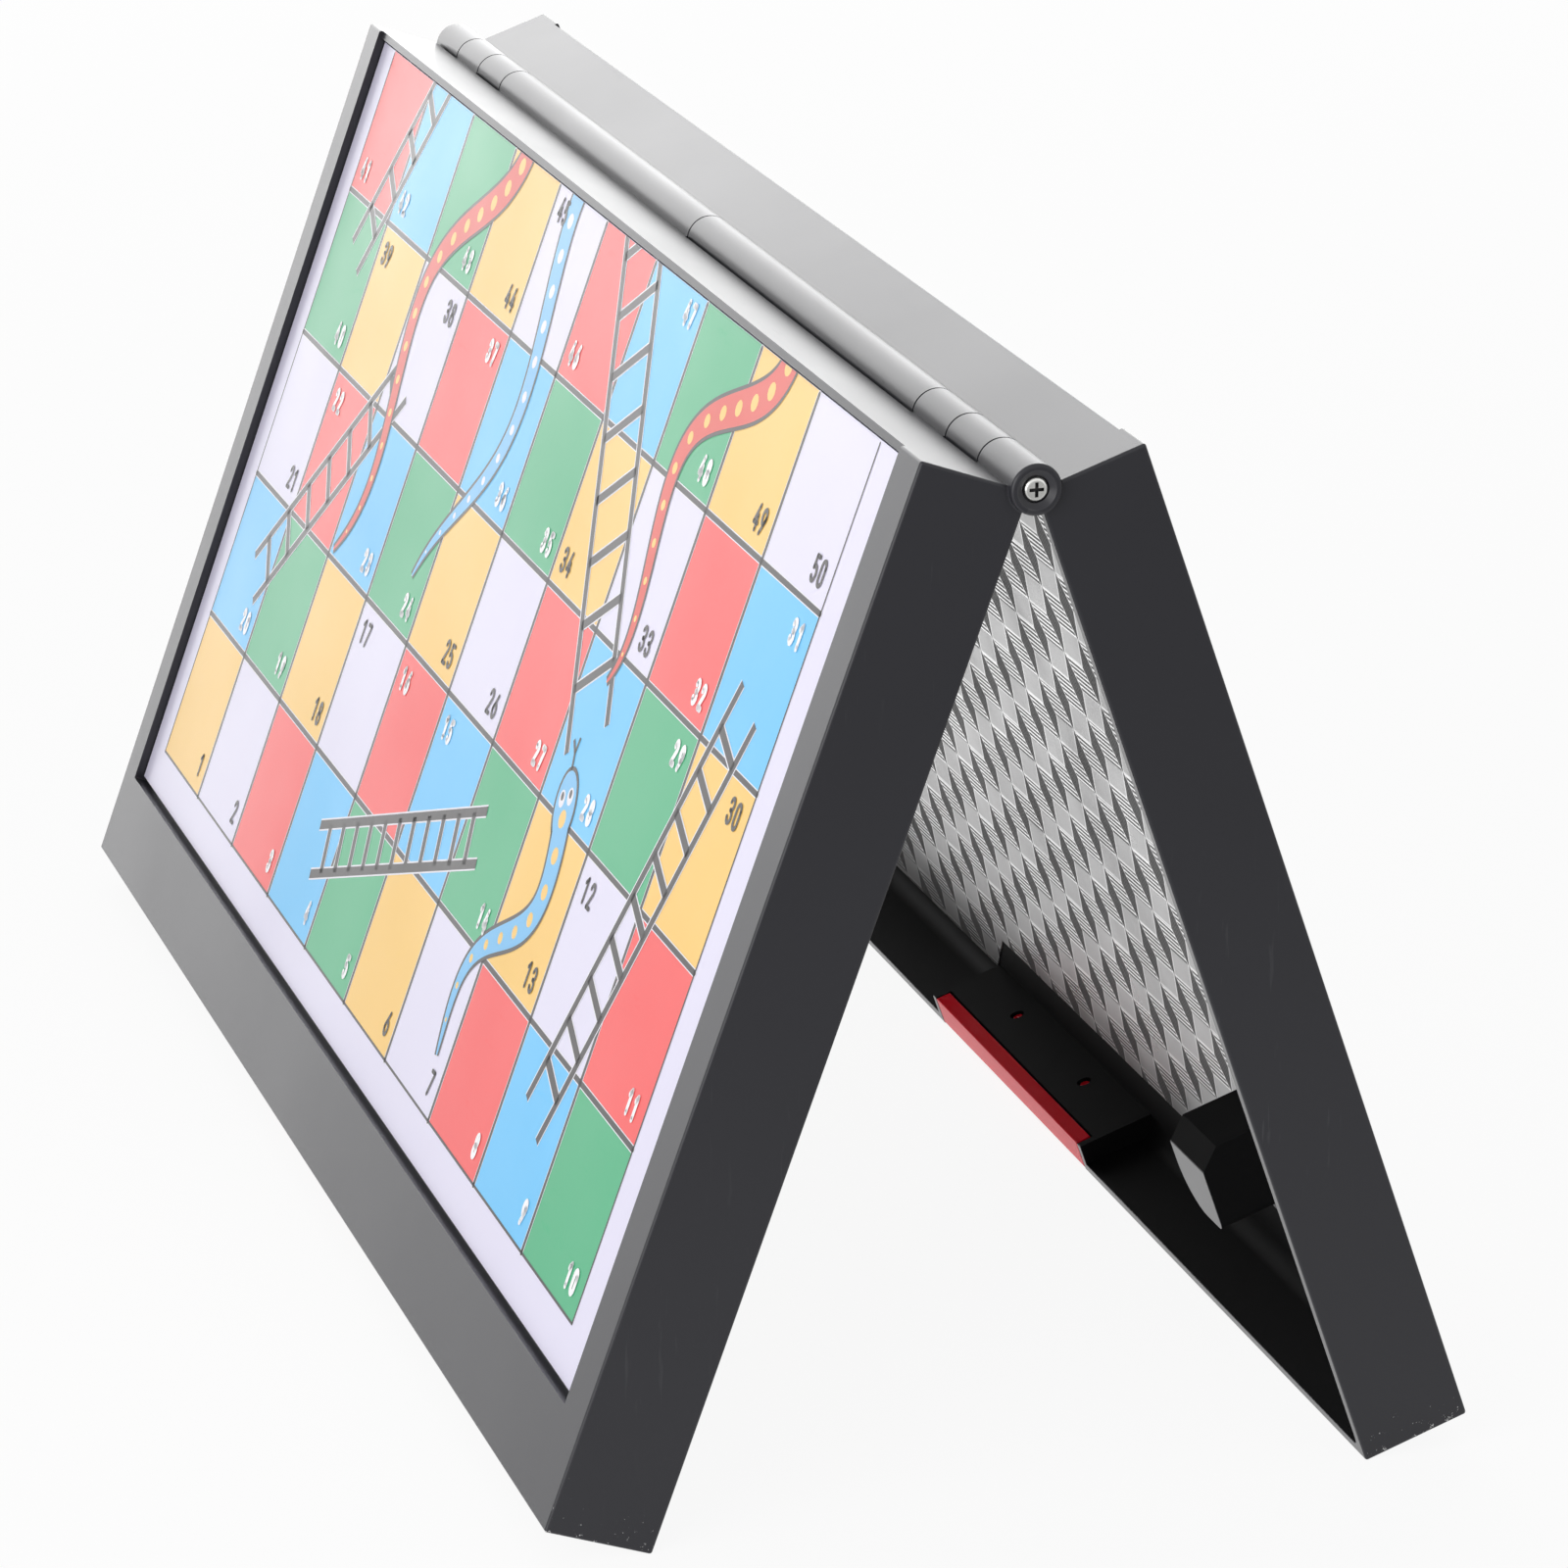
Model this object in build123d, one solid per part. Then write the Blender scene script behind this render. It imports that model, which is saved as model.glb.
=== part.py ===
from build123d import *
import math
import os

# Folding board game case, standing open like a tent.
# Two equal moulded half trays turn on one interleaved hinge.
# World frame: X along the hinge, Y from the front half to the back half, Z up.
# Sizes are in millimetres and angles in degrees.

# Overall size of one half
board_length = 250.0
half_width = 130.0
half_depth = 13.5
tent_angle = 39.2

# Walls and rims of a half tray
end_wall = 1.6
hinge_wall = 1.6
free_wall = 1.4
floor_wall = 1.1
near_end_rims = {"front": 7.0, "back": 7.0}
far_end_rims = {"front": 5.6, "back": 7.6}
free_rim = 13.1
hinge_lip = 1.0
hinge_lip_drop = 0.6
edge_radius = 0.35
corner_radius = 1.2
base_radius = 0.5
free_cove_radius = 2.5

# Printed sheet, steel plate and inside liner
sheet_depth = 1.2
sheet_thickness = 0.3
plate_thickness = 0.4
sheet_clearance = 0.4
sheet_free_clearance = 0.7
liner_thickness = 0.2
liner_clearance = 0.7
liner_strip = 11.3
liner_step_x = -22.0
liner_step_slant = 8.8

# Hinge: knuckle lengths go from each end of the hinge inwards
barrel_radius = 3.0
hinge_gap = 0.6
rim_gap = 0.2
knuckle_gap = 0.35
relief_clearance = 0.35
barrel_overhang = 1.2
near_knuckles = [11.7, 11.0, 11.5]
far_knuckles = [11.7, 11.5, 12.0]
long_knuckle_joint = 2.0
barrel_edge_radius = 0.4

# Hinge screws
screw_radius = 1.0
screw_running_clearance = 0.05
screw_thread_length = 9.0
screw_head_radius = 1.4
screw_head_height = 0.8
screw_head_inset = 0.2
head_bore_clearance = 0.2
head_bevel_width = 0.7
head_bevel_depth = 0.5
cross_length = 1.7
cross_width = 0.4
cross_depth = 0.45

# Posts that hold the two halves apart when the case is shut
post_length = 11.2
post_width = 11.0
post_inset = 31.8
post_free_inset = 18.6
post_chamfer = 2.6
post_inner_radius = 6.0
post_outer_radius = 1.0

# Latch seat in the free edge of each half
latch_length = 57.0
latch_clearance = 0.35
seat_depth = 4.2
seat_inner_wall = 1.0
seat_end_wall = 1.2
seat_bottom = 4.0
notch_depth = 2.4
peg_spacing = 26.8
peg_level = 6.5
peg_radius = 0.65
peg_hole_clearance = 0.35
peg_inset = 0.35

# Press latch, its spring and the catch in the other half
latch_plate = 1.5
latch_travel = 1.1
latch_edge_radius = 0.6
guide_tab_length = 0.8
guide_tab_thickness = 0.7
guide_tab_height = 3.0
guide_tab_level = 9.2
guide_clearance = 0.3
spring_length = 19.0
spring_width = 3.0
spring_thickness = 0.2
spring_level = 6.5
tongue_length = 40.0
tongue_thickness = 1.2
tongue_reach = 2.0
tongue_clearance = 0.35

# Places worked out from the sizes above
half_angle = tent_angle / 2
sin_tilt = math.sin(math.radians(half_angle))
cos_tilt = math.cos(math.radians(half_angle))
hinge_side = hinge_gap
free_side = hinge_gap + half_width
outer_face = rim_gap + half_depth
sheet_face = outer_face - sheet_depth
plate_face = sheet_face - sheet_thickness
recess_floor = plate_face - plate_thickness
tray_floor = recess_floor - floor_wall
inner_half = board_length / 2 - end_wall
latch_half = latch_length / 2
pocket_half = latch_half + latch_clearance
seat_inner_face = free_side - seat_depth
seat_bottom_face = outer_face - seat_bottom
barrel_half = board_length / 2 + barrel_overhang
foot_drop = cos_tilt * (free_side - edge_radius) - sin_tilt * (rim_gap + edge_radius)
axis_height = foot_drop + edge_radius

# Half frames: x along the hinge, y down the slope, z out through the board face
axis_point = (0, 0, axis_height)
front_frame = Plane(origin=axis_point, x_dir=(-1, 0, 0), z_dir=(0, -cos_tilt, sin_tilt))
back_frame = Plane(origin=axis_point, x_dir=(1, 0, 0), z_dir=(0, cos_tilt, sin_tilt))


def block(x_range, y_range, z_range):
    """Box between two limits on each axis."""
    size = [high - low for low, high in (x_range, y_range, z_range)]
    middle = [(high + low) / 2 for low, high in (x_range, y_range, z_range)]
    return Pos(*middle) * Box(*size)


def rod(radius, x_range):
    """Round bar along the hinge axis."""
    length = x_range[1] - x_range[0]
    middle = (x_range[0] + x_range[1]) / 2
    return Pos(middle, 0, 0) * Rot(0, 90, 0) * Cylinder(radius, length)


def cross_peg(radius, x, y_range, z):
    """Round peg across the free wall."""
    length = y_range[1] - y_range[0]
    middle = (y_range[0] + y_range[1]) / 2
    return Pos(x, middle, z) * Rot(90, 0, 0) * Cylinder(radius, length)


def edges_at(part, axis, place, along):
    """Straight edges that run along one axis and lie at a place on another."""
    found = part.edges().filter_by(along).filter_by_position(axis, place - 0.01, place + 0.01)
    return found


def knuckle_ends(lengths):
    """Distances from the middle of the case to one end's knuckle ends."""
    return [barrel_half - sum(lengths[:count]) for count in range(len(lengths) + 1)]


def knuckle_spans():
    """Spans of all knuckles in world X, near end first, without their gaps."""
    far_ends = [-distance for distance in reversed(knuckle_ends(far_knuckles))]
    stops = knuckle_ends(near_knuckles) + [long_knuckle_joint] + far_ends
    return [(stops[i + 1], stops[i]) for i in range(len(stops) - 1)]


def spans_of(half):
    """Knuckle spans of a half in its own x: the front half has the odd ones."""
    spans = knuckle_spans()
    if half == "front":
        return [(-high, -low) for low, high in spans[0::2]]
    return spans[1::2]


def trimmed(span):
    """A knuckle's span with half of the gap taken off at each neighbour."""
    low, high = span
    low_end = low if low <= -barrel_half else low + knuckle_gap / 2
    high_end = high if high >= barrel_half else high - knuckle_gap / 2
    return (low_end, high_end)


def recess_span(half):
    """Ends of the board recess in a half's own x."""
    near = board_length / 2 - near_end_rims[half]
    far = board_length / 2 - far_end_rims[half]
    return (-near, far) if half == "front" else (-far, near)


def shell(half):
    """Open tray with its board recess on the outer face."""
    outer = block(
        (-board_length / 2, board_length / 2),
        (hinge_side, free_side),
        (rim_gap, outer_face),
    )
    outer = fillet(outer.edges(), edge_radius)
    inner = block(
        (-inner_half, inner_half),
        (hinge_side + hinge_wall, free_side - free_wall),
        (rim_gap - half_depth, tray_floor),
    )
    inner = fillet(inner.edges().filter_by(Axis.Z), corner_radius)
    inner = fillet(edges_at(inner, Axis.Z, tray_floor, Axis.X), base_radius)
    recess = block(
        recess_span(half),
        (hinge_side + hinge_lip, free_side - free_rim),
        (recess_floor, outer_face + half_depth),
    )
    lip_cut = block(
        recess_span(half),
        (hinge_side - half_depth, hinge_side + hinge_lip + edge_radius),
        (outer_face - hinge_lip_drop, outer_face + half_depth),
    )
    return outer - inner - recess - lip_cut + free_cove()


def free_cove():
    """Wide hollow corner between the tray's floor and its free wall."""
    wall_face = free_side - free_wall
    strip = block(
        (-inner_half, inner_half),
        (wall_face - free_cove_radius, wall_face + free_wall / 2),
        (tray_floor - free_cove_radius, tray_floor + floor_wall / 2),
    )
    centre = (0, wall_face - free_cove_radius, tray_floor - free_cove_radius)
    return strip - Pos(*centre) * rod(free_cove_radius, (-board_length, board_length))


def post():
    """Corner post up to the inner rim, with a chamfered hinge side."""
    low_y = free_side - post_free_inset - post_width
    high_y = free_side - post_free_inset
    low_x = board_length / 2 - post_inset - post_length
    high_x = board_length / 2 - post_inset
    body = block((low_x, high_x), (low_y, high_y), (rim_gap, tray_floor + floor_wall / 2))
    free_corners = edges_at(body, Axis.Y, high_y, Axis.Z).sort_by(Axis.X)
    body = fillet(free_corners[0], post_inner_radius)
    outer_corner = edges_at(body, Axis.Y, high_y, Axis.Z).sort_by(Axis.X)[-1]
    body = fillet(outer_corner, post_outer_radius)
    slope = edges_at(body, Axis.Z, rim_gap, Axis.X).sort_by(Axis.Y)[0]
    return chamfer(slope, post_chamfer)


def latch_seat():
    """Housing and cuts for a latch or a catch in the free wall."""
    seat_half = pocket_half + seat_end_wall
    housing = block(
        (-seat_half, seat_half),
        (seat_inner_face, free_side - edge_radius),
        (rim_gap, tray_floor + floor_wall / 2),
    )
    notch = block(
        (-pocket_half, pocket_half),
        (seat_inner_face - seat_depth, free_side + seat_depth),
        (rim_gap - half_depth, rim_gap + notch_depth),
    )
    pocket = block(
        (-pocket_half, pocket_half),
        (seat_inner_face + seat_inner_wall, free_side + seat_depth),
        (rim_gap - half_depth, seat_bottom_face),
    )
    hole_radius = peg_radius + peg_hole_clearance
    hole_range = (seat_inner_face - seat_depth, free_side)
    holes = [cross_peg(hole_radius, x, hole_range, outer_face - peg_level) for x in peg_places()]
    tab_front = free_side - latch_plate
    slot_half = pocket_half + guide_tab_length - latch_clearance + guide_clearance
    slot_rise = guide_tab_height / 2 + guide_clearance
    slot_level = outer_face - guide_tab_level
    slot = block(
        (-slot_half, slot_half),
        (tab_front - latch_travel - guide_clearance, tab_front + guide_tab_thickness + guide_clearance),
        (slot_level - slot_rise, slot_level + slot_rise),
    )
    return housing, [notch, pocket, slot] + holes


def peg_places():
    """Places of the two pegs along the free edge."""
    return [-peg_spacing / 2, peg_spacing / 2]


def barrel(span):
    """One knuckle, with a soft edge where it ends outside the case."""
    low, high = trimmed(span)
    knuckle = rod(barrel_radius, (low, high))
    if high >= barrel_half:
        knuckle = fillet(knuckle.edges().sort_by(Axis.X)[-1], barrel_edge_radius)
    if low <= -barrel_half:
        knuckle = fillet(knuckle.edges().sort_by(Axis.X)[0], barrel_edge_radius)
    return knuckle


def screw_seats(spans):
    """Cuts in one half for the two hinge screws."""
    run_radius = screw_radius + screw_running_clearance
    head_radius = screw_head_radius + head_bore_clearance
    head_seat = barrel_half - screw_head_inset - screw_head_height
    bevel_start = barrel_half - head_bevel_depth
    cuts = []
    for low, high in spans:
        sign = 1 if low + high > 0 else -1
        outer = max(abs(low), abs(high))
        if outer - thread_end() < screw_thread_length + barrel_overhang:
            bore = rod(screw_radius, (thread_end(), outer))
        else:
            bore = rod(run_radius, (outer - (high - low) - knuckle_gap, outer + knuckle_gap))
        if outer >= barrel_half:
            bore += rod(head_radius, (head_seat, barrel_half + knuckle_gap))
            cone = Solid.make_cone(head_radius, head_radius + head_bevel_width, head_bevel_depth)
            bore += Pos(bevel_start, 0, 0) * Rot(0, 90, 0) * Part(cone.wrapped)
        cuts.append(bore if sign > 0 else mirror(bore, about=Plane.YZ))
    return cuts


def thread_end():
    """Distance from the middle of the hinge to the screws' tips."""
    return min(knuckle_ends(near_knuckles)[-1], knuckle_ends(far_knuckles)[-1]) - screw_thread_length


def tray(half):
    """One moulded half tray with its knuckles."""
    own = spans_of(half)
    other = spans_of("back" if half == "front" else "front")
    body = shell(half)
    body += post()
    body += mirror(post(), about=Plane.YZ)
    housing, cuts = latch_seat()
    body += housing
    for cut in cuts:
        body -= cut
    for low, high in other:
        facing = (-high, -low)
        gap = (facing[0] - knuckle_gap / 2, facing[1] + knuckle_gap / 2)
        body -= rod(barrel_radius + relief_clearance, gap)
    for span in own:
        body += barrel(span)
    for cut in screw_seats(own):
        body -= cut
    return body


def recess_panel(half, z_range):
    """Flat panel that lies in the board recess with play all round."""
    low, high = recess_span(half)
    return block(
        (low + sheet_clearance, high - sheet_clearance),
        (hinge_side + hinge_lip + sheet_clearance, free_side - free_rim - sheet_free_clearance),
        z_range,
    )


def steel_plate(half):
    """Steel plate that the playing pieces cling to."""
    return recess_panel(half, (recess_floor, plate_face))


def game_sheet(half):
    """Printed sheet that lies on the steel plate."""
    return recess_panel(half, (plate_face, sheet_face))


def liner():
    """Silver liner on the tray's inside, cut back beside the latch."""
    half = inner_half - liner_clearance
    top = hinge_side + hinge_wall + liner_clearance
    strip = free_side - liner_strip
    full = free_side - free_wall - free_cove_radius
    outline = Polyline(
        (-half, top),
        (half, top),
        (half, strip),
        (liner_step_x, strip),
        (liner_step_x - liner_step_slant, full),
        (-half, full),
        close=True,
    )
    panel = Pos(0, 0, tray_floor - liner_thickness) * extrude(make_face(outline), liner_thickness)
    low_y = free_side - post_free_inset - post_width
    low_x = board_length / 2 - post_inset - post_length
    hole = block(
        (low_x - liner_clearance, low_x + post_length + liner_clearance),
        (low_y - liner_clearance, low_y + post_width + liner_clearance),
        (tray_floor - floor_wall, tray_floor),
    )
    return panel - hole - mirror(hole, about=Plane.YZ)


def latch_body(peg_tip, peg_size):
    """Plate, cap and pegs that the latch and the catch have in common."""
    plate = block(
        (-latch_half, latch_half),
        (free_side - latch_plate, free_side),
        (rim_gap, seat_bottom_face - latch_clearance),
    )
    cap = block(
        (-latch_half, latch_half),
        (seat_inner_face, free_side),
        (rim_gap, rim_gap + notch_depth - latch_clearance),
    )
    body = plate + cap
    lip = edges_at(body, Axis.Y, free_side, Axis.X).sort_by(Axis.Z)[0]
    body = fillet(lip, latch_edge_radius)
    for x in peg_places():
        body += cross_peg(peg_size, x, (peg_tip, free_side - latch_plate / 2), outer_face - peg_level)
    return body


def press_latch():
    """Red press latch, free to slide towards the inside of the tray."""
    body = latch_body(seat_inner_face + peg_inset, peg_radius)
    tab_level = outer_face - guide_tab_level
    tab_half = latch_half + guide_tab_length
    body += block(
        (-tab_half, tab_half),
        (free_side - latch_plate, free_side - latch_plate + guide_tab_thickness),
        (tab_level - guide_tab_height / 2, tab_level + guide_tab_height / 2),
    )
    return body


def catch():
    """Fixed catch in the other half, with a tongue that passes inside the latch."""
    body = latch_body(seat_inner_face, peg_radius + peg_hole_clearance)
    tongue_back = seat_inner_face - latch_travel - tongue_clearance
    root = block(
        (-tongue_length / 2, tongue_length / 2),
        (tongue_back - tongue_thickness, seat_inner_face + seat_inner_wall),
        (rim_gap, rim_gap + notch_depth - latch_clearance),
    )
    tongue = block(
        (-tongue_length / 2, tongue_length / 2),
        (tongue_back - tongue_thickness, tongue_back),
        (-rim_gap - tongue_reach, rim_gap + notch_depth - latch_clearance),
    )
    nose = edges_at(tongue, Axis.Z, -rim_gap - tongue_reach, Axis.X)
    tongue = fillet(nose, tongue_thickness / 3)
    return body + root + tongue


def latch_spring():
    """Bowed leaf that pushes the latch out, between it and the seat's inner wall."""
    seat = seat_inner_face + seat_inner_wall
    rise = free_side - latch_plate - seat - spring_thickness
    half = spring_length / 2
    bow = ThreePointArc((-half, 0), (0, rise), (half, 0))
    crown = ThreePointArc((half, spring_thickness), (0, rise + spring_thickness), (-half, spring_thickness))
    ends = [Line(bow @ 1, crown @ 0), Line(crown @ 1, bow @ 0)]
    face = make_face([bow, ends[0], crown, ends[1]])
    level = outer_face - spring_level
    return Pos(0, seat, level - spring_width / 2) * extrude(face, spring_width)


def hinge_screw():
    """Hinge screw from the near end, with a cross recess in its low head."""
    head_top = barrel_half - screw_head_inset
    head_seat = head_top - screw_head_height
    screw = rod(screw_radius, (thread_end(), head_seat + screw_head_height / 2))
    head = rod(screw_head_radius, (head_seat, head_top))
    head = fillet(head.edges().sort_by(Axis.X)[-1], screw_head_height / 2)
    screw += head
    tip = screw.edges().sort_by(Axis.X)[0]
    screw = chamfer(tip, screw_radius / 3)
    long_half = cross_length / 2
    thin_half = cross_width / 2
    reach = (head_top - cross_depth, head_top + cross_depth)
    screw -= block(reach, (-long_half, long_half), (-thin_half, thin_half))
    screw -= block(reach, (-thin_half, thin_half), (-long_half, long_half))
    return screw


def save(name, part):
    """Write one piece to its own file."""
    export_step(part, f"parts/{name}.step")


def main():
    """Build every piece, stand it in its place and write it."""
    os.makedirs("parts", exist_ok=True)
    for half, frame in (("front", front_frame), ("back", back_frame)):
        save(f"{half}_tray", frame.location * tray(half))
        save(f"{half}_steel_plate", frame.location * steel_plate(half))
        save(f"{half}_game_sheet", frame.location * game_sheet(half))
        save(f"{half}_liner", frame.location * liner())
    save("press_latch", back_frame.location * press_latch())
    save("latch_spring", back_frame.location * latch_spring())
    save("catch", front_frame.location * catch())
    near_screw = Pos(*axis_point) * hinge_screw()
    save("near_hinge_screw", near_screw)
    save("far_hinge_screw", mirror(near_screw, about=Plane.YZ))


main()
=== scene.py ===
"""Looks of the folding magnetic game board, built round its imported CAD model."""

import logging
import math
from dataclasses import dataclass, field, replace
from enum import Enum
from functools import reduce

import bmesh
import bpy
from mathutils import Matrix, Vector


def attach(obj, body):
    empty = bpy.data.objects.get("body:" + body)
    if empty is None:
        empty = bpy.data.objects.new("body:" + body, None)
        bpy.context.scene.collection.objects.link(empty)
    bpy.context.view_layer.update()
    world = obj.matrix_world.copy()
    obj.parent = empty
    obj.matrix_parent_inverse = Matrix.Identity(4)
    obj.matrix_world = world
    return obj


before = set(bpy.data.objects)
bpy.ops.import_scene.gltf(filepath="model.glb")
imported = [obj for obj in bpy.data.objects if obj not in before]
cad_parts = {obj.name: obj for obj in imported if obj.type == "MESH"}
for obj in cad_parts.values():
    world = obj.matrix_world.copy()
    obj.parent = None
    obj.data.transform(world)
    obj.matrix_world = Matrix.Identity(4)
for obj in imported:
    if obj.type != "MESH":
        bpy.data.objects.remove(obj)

LOG = logging.getLogger("game_board")
MM = 0.001

# The stand as the CAD model has it: lengths in millimetres, the angle in radians
HALF_ANGLE = math.radians(19.6)
SLOPE_SIN = math.sin(HALF_ANGLE)
SLOPE_COS = math.cos(HALF_ANGLE)
AXIS_HEIGHT = 122.8685
HINGE_SIDE = 0.6
SHEET_FACE = 12.5

# Socket types of the node groups
FLOAT = "NodeSocketFloat"
VECTOR = "NodeSocketVector"
MATERIAL = "NodeSocketMaterial"
GEOMETRY = "NodeSocketGeometry"
INTEGER = "NodeSocketInt"

Colour = tuple[float, float, float, float]
Point = tuple[float, float]
Place = tuple[float, float, float]
Line = list[Point]
Node = bpy.types.Node
Socket = bpy.types.NodeSocket
Tree = bpy.types.NodeTree
Mesh = bpy.types.Mesh

BLACK: Colour = (0.0, 0.0, 0.0, 1.0)
WHITE: Colour = (1.0, 1.0, 1.0, 1.0)


class Half(Enum):
    """One of the two trays. Its value is the sign of board y on it."""

    FRONT = -1
    BACK = 1

    @property
    def label(self) -> str:
        """Short name used in piece names."""
        return self.name.lower()

    @property
    def body(self) -> str:
        """CAD body that the half's pieces ride on."""
        return f"{self.label}_half"

    def place(self, height: float) -> Matrix:
        """Matrix from the flat board, in millimetres, to this half in the stand, in metres.

        Args:
            height: Distance of the flat z = 0 from the half's base plane, in millimetres.

        Returns:
            The matrix. Board x runs from the far end to the near end and board y across the hinge.
        """
        side = self.value
        across = side * (SLOPE_SIN * HINGE_SIDE + SLOPE_COS * height)
        up = AXIS_HEIGHT - SLOPE_COS * HINGE_SIDE + SLOPE_SIN * height
        axes = (
            (1.0, 0.0, 0.0),
            (0.0, SLOPE_SIN, -side * SLOPE_COS),
            (0.0, side * SLOPE_COS, SLOPE_SIN),
        )
        matrix = Matrix(axes).transposed().to_4x4()
        matrix.translation = Vector((0.0, across, up))
        return Matrix.Scale(MM, 4) @ matrix


class InkLayer(Enum):
    """Height of each printed layer above the sheet, in millimetres."""

    SQUARES = 0.012
    KEYLINES = 0.020
    LINES = 0.028
    LADDERS = 0.036
    SNAKES = 0.052
    NUMBERS = 0.084


def in_scene(name: str, data: bpy.types.ID) -> bpy.types.Object:
    """Makes an object in the scene.

    Args:
        name: Name of the object.
        data: Its mesh, curve, lamp or camera.

    Returns:
        The object.
    """
    made = bpy.data.objects.new(name, data)
    bpy.context.scene.collection.objects.link(made)
    return made


def emptied_tree(owner: bpy.types.Material | bpy.types.World) -> Tree:
    """Turns on the nodes of a material or a world and clears them.

    Args:
        owner: The material or world.

    Returns:
        Its empty node tree.
    """
    owner.use_nodes = True
    owner.node_tree.nodes.clear()
    return owner.node_tree


class NodeSheet:
    """Adds and joins the nodes of one tree. Values may be numbers, tuples or sockets."""

    def __init__(self, tree: Tree) -> None:
        """Keeps the tree that the nodes go into."""
        self.tree = tree

    def feed(self, node: Node, inputs: dict) -> None:
        """Sets or links inputs of a node.

        Args:
            node: Node to feed.
            inputs: Socket name or number, with a value or the socket that feeds it.
        """
        for key, value in inputs.items():
            if isinstance(value, Socket):
                self.tree.links.new(value, node.inputs[key])
            else:
                node.inputs[key].default_value = value

    def add(self, kind: str, inputs: dict | None = None, **settings: object) -> Node:
        """Adds one node.

        Args:
            kind: Blender's name of the node type.
            inputs: Socket name or number, with a value or the socket that feeds it.
            settings: Properties of the node.

        Returns:
            The new node.
        """
        node = self.tree.nodes.new(kind)
        for key, value in settings.items():
            setattr(node, key, value)
        self.feed(node, inputs or {})
        return node

    def math(self, operation: str, *values: object) -> Socket:
        """Adds a Math node on one to three numbers."""
        return self.add("ShaderNodeMath", dict(enumerate(values)), operation=operation).outputs[0]

    def fold(self, operation: str, *values: object) -> Socket:
        """Takes a Math operation on two numbers through a row of them."""
        return reduce(lambda left, right: self.math(operation, left, right), values)

    def product(self, *values: object) -> Socket:
        """Multiplies a row of numbers."""
        return self.fold("MULTIPLY", *values)

    def gap(self, value: object, other: object) -> Socket:
        """Distance between two numbers."""
        return self.math("ABSOLUTE", self.math("SUBTRACT", value, other))

    def wave(self, value: object, period: float) -> Socket:
        """Sine of a number, with its period."""
        return self.math("SINE", self.product(value, 2 * math.pi / period))

    def vector(self, x: object = 0.0, y: object = 0.0, z: object = 0.0) -> Socket:
        """Joins three numbers into a vector."""
        return self.add("ShaderNodeCombineXYZ", {0: x, 1: y, 2: z}).outputs[0]

    def parts(self, vector: Socket) -> bpy.types.NodeOutputs:
        """Splits a vector into x, y and z."""
        return self.add("ShaderNodeSeparateXYZ", {0: vector}).outputs

    def measure(self, operation: str, *vectors: object) -> Socket:
        """Number that a Vector Math node gives for its vectors."""
        node = self.add("ShaderNodeVectorMath", dict(enumerate(vectors)), operation=operation)
        return node.outputs["Value"]

    def mix(self, factor: object, low: object, high: object) -> Socket:
        """Mixes two colours: a factor of 0 gives low and 1 gives high."""
        return self.add("ShaderNodeMix", {0: factor, 6: low, 7: high}, data_type="RGBA").outputs[2]

    def span(
        self, value: object, start: float, end: float, low: object = 0.0, high: object = 1.0
    ) -> Socket:
        """Maps a number from one range to another and clamps it.

        Args:
            value: Number to map.
            start: Value that gives low.
            end: Value that gives high.
            low: Result at start.
            high: Result at end.

        Returns:
            The mapped number.
        """
        return self.add("ShaderNodeMapRange", {0: value, 1: start, 2: end, 3: low, 4: high}).outputs[0]

    def blend(self, factor: object, low: object, high: object) -> Socket:
        """Mixes two numbers: a factor of 0 gives low and 1 gives high."""
        return self.span(factor, 0.0, 1.0, low, high)

    def noise(self, place: Socket, scale: object, detail: float, roughness: float = 0.5) -> Socket:
        """Soft noise of 0 to 1 at a place."""
        inputs = {"Vector": place, "Scale": scale, "Detail": detail, "Roughness": roughness}
        return self.add("ShaderNodeTexNoise", inputs).outputs[0]

    def bump(self, strength: float, distance: float, height: Socket) -> Socket:
        """Normal that a height gives; distance in metres."""
        inputs = {"Strength": strength, "Distance": distance, "Height": height}
        return self.add("ShaderNodeBump", inputs).outputs[0]


class NodeGroup(NodeSheet):
    """A new node group with named sockets."""

    def __init__(
        self, name: str, kind: str, inputs: dict[str, tuple[str, object]], outputs: dict[str, str]
    ) -> None:
        """Makes the group's sockets.

        Args:
            name: Name of the group.
            kind: ShaderNodeTree or GeometryNodeTree.
            inputs: Socket name, with its type and default value (None for no default).
            outputs: Socket name, with its type.
        """
        super().__init__(bpy.data.node_groups.new(name, kind))
        sockets = self.tree.interface
        for label, (socket_type, value) in inputs.items():
            socket = sockets.new_socket(name=label, in_out="INPUT", socket_type=socket_type)
            if value is not None:
                socket.default_value = value
        for label, socket_type in outputs.items():
            sockets.new_socket(name=label, in_out="OUTPUT", socket_type=socket_type)
        self.take = self.add("NodeGroupInput").outputs
        self.out = self.add("NodeGroupOutput")

    def give(self, values: dict[str, Socket]) -> Tree:
        """Feeds the group's outputs and hands back its tree."""
        self.feed(self.out, values)
        return self.tree


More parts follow.
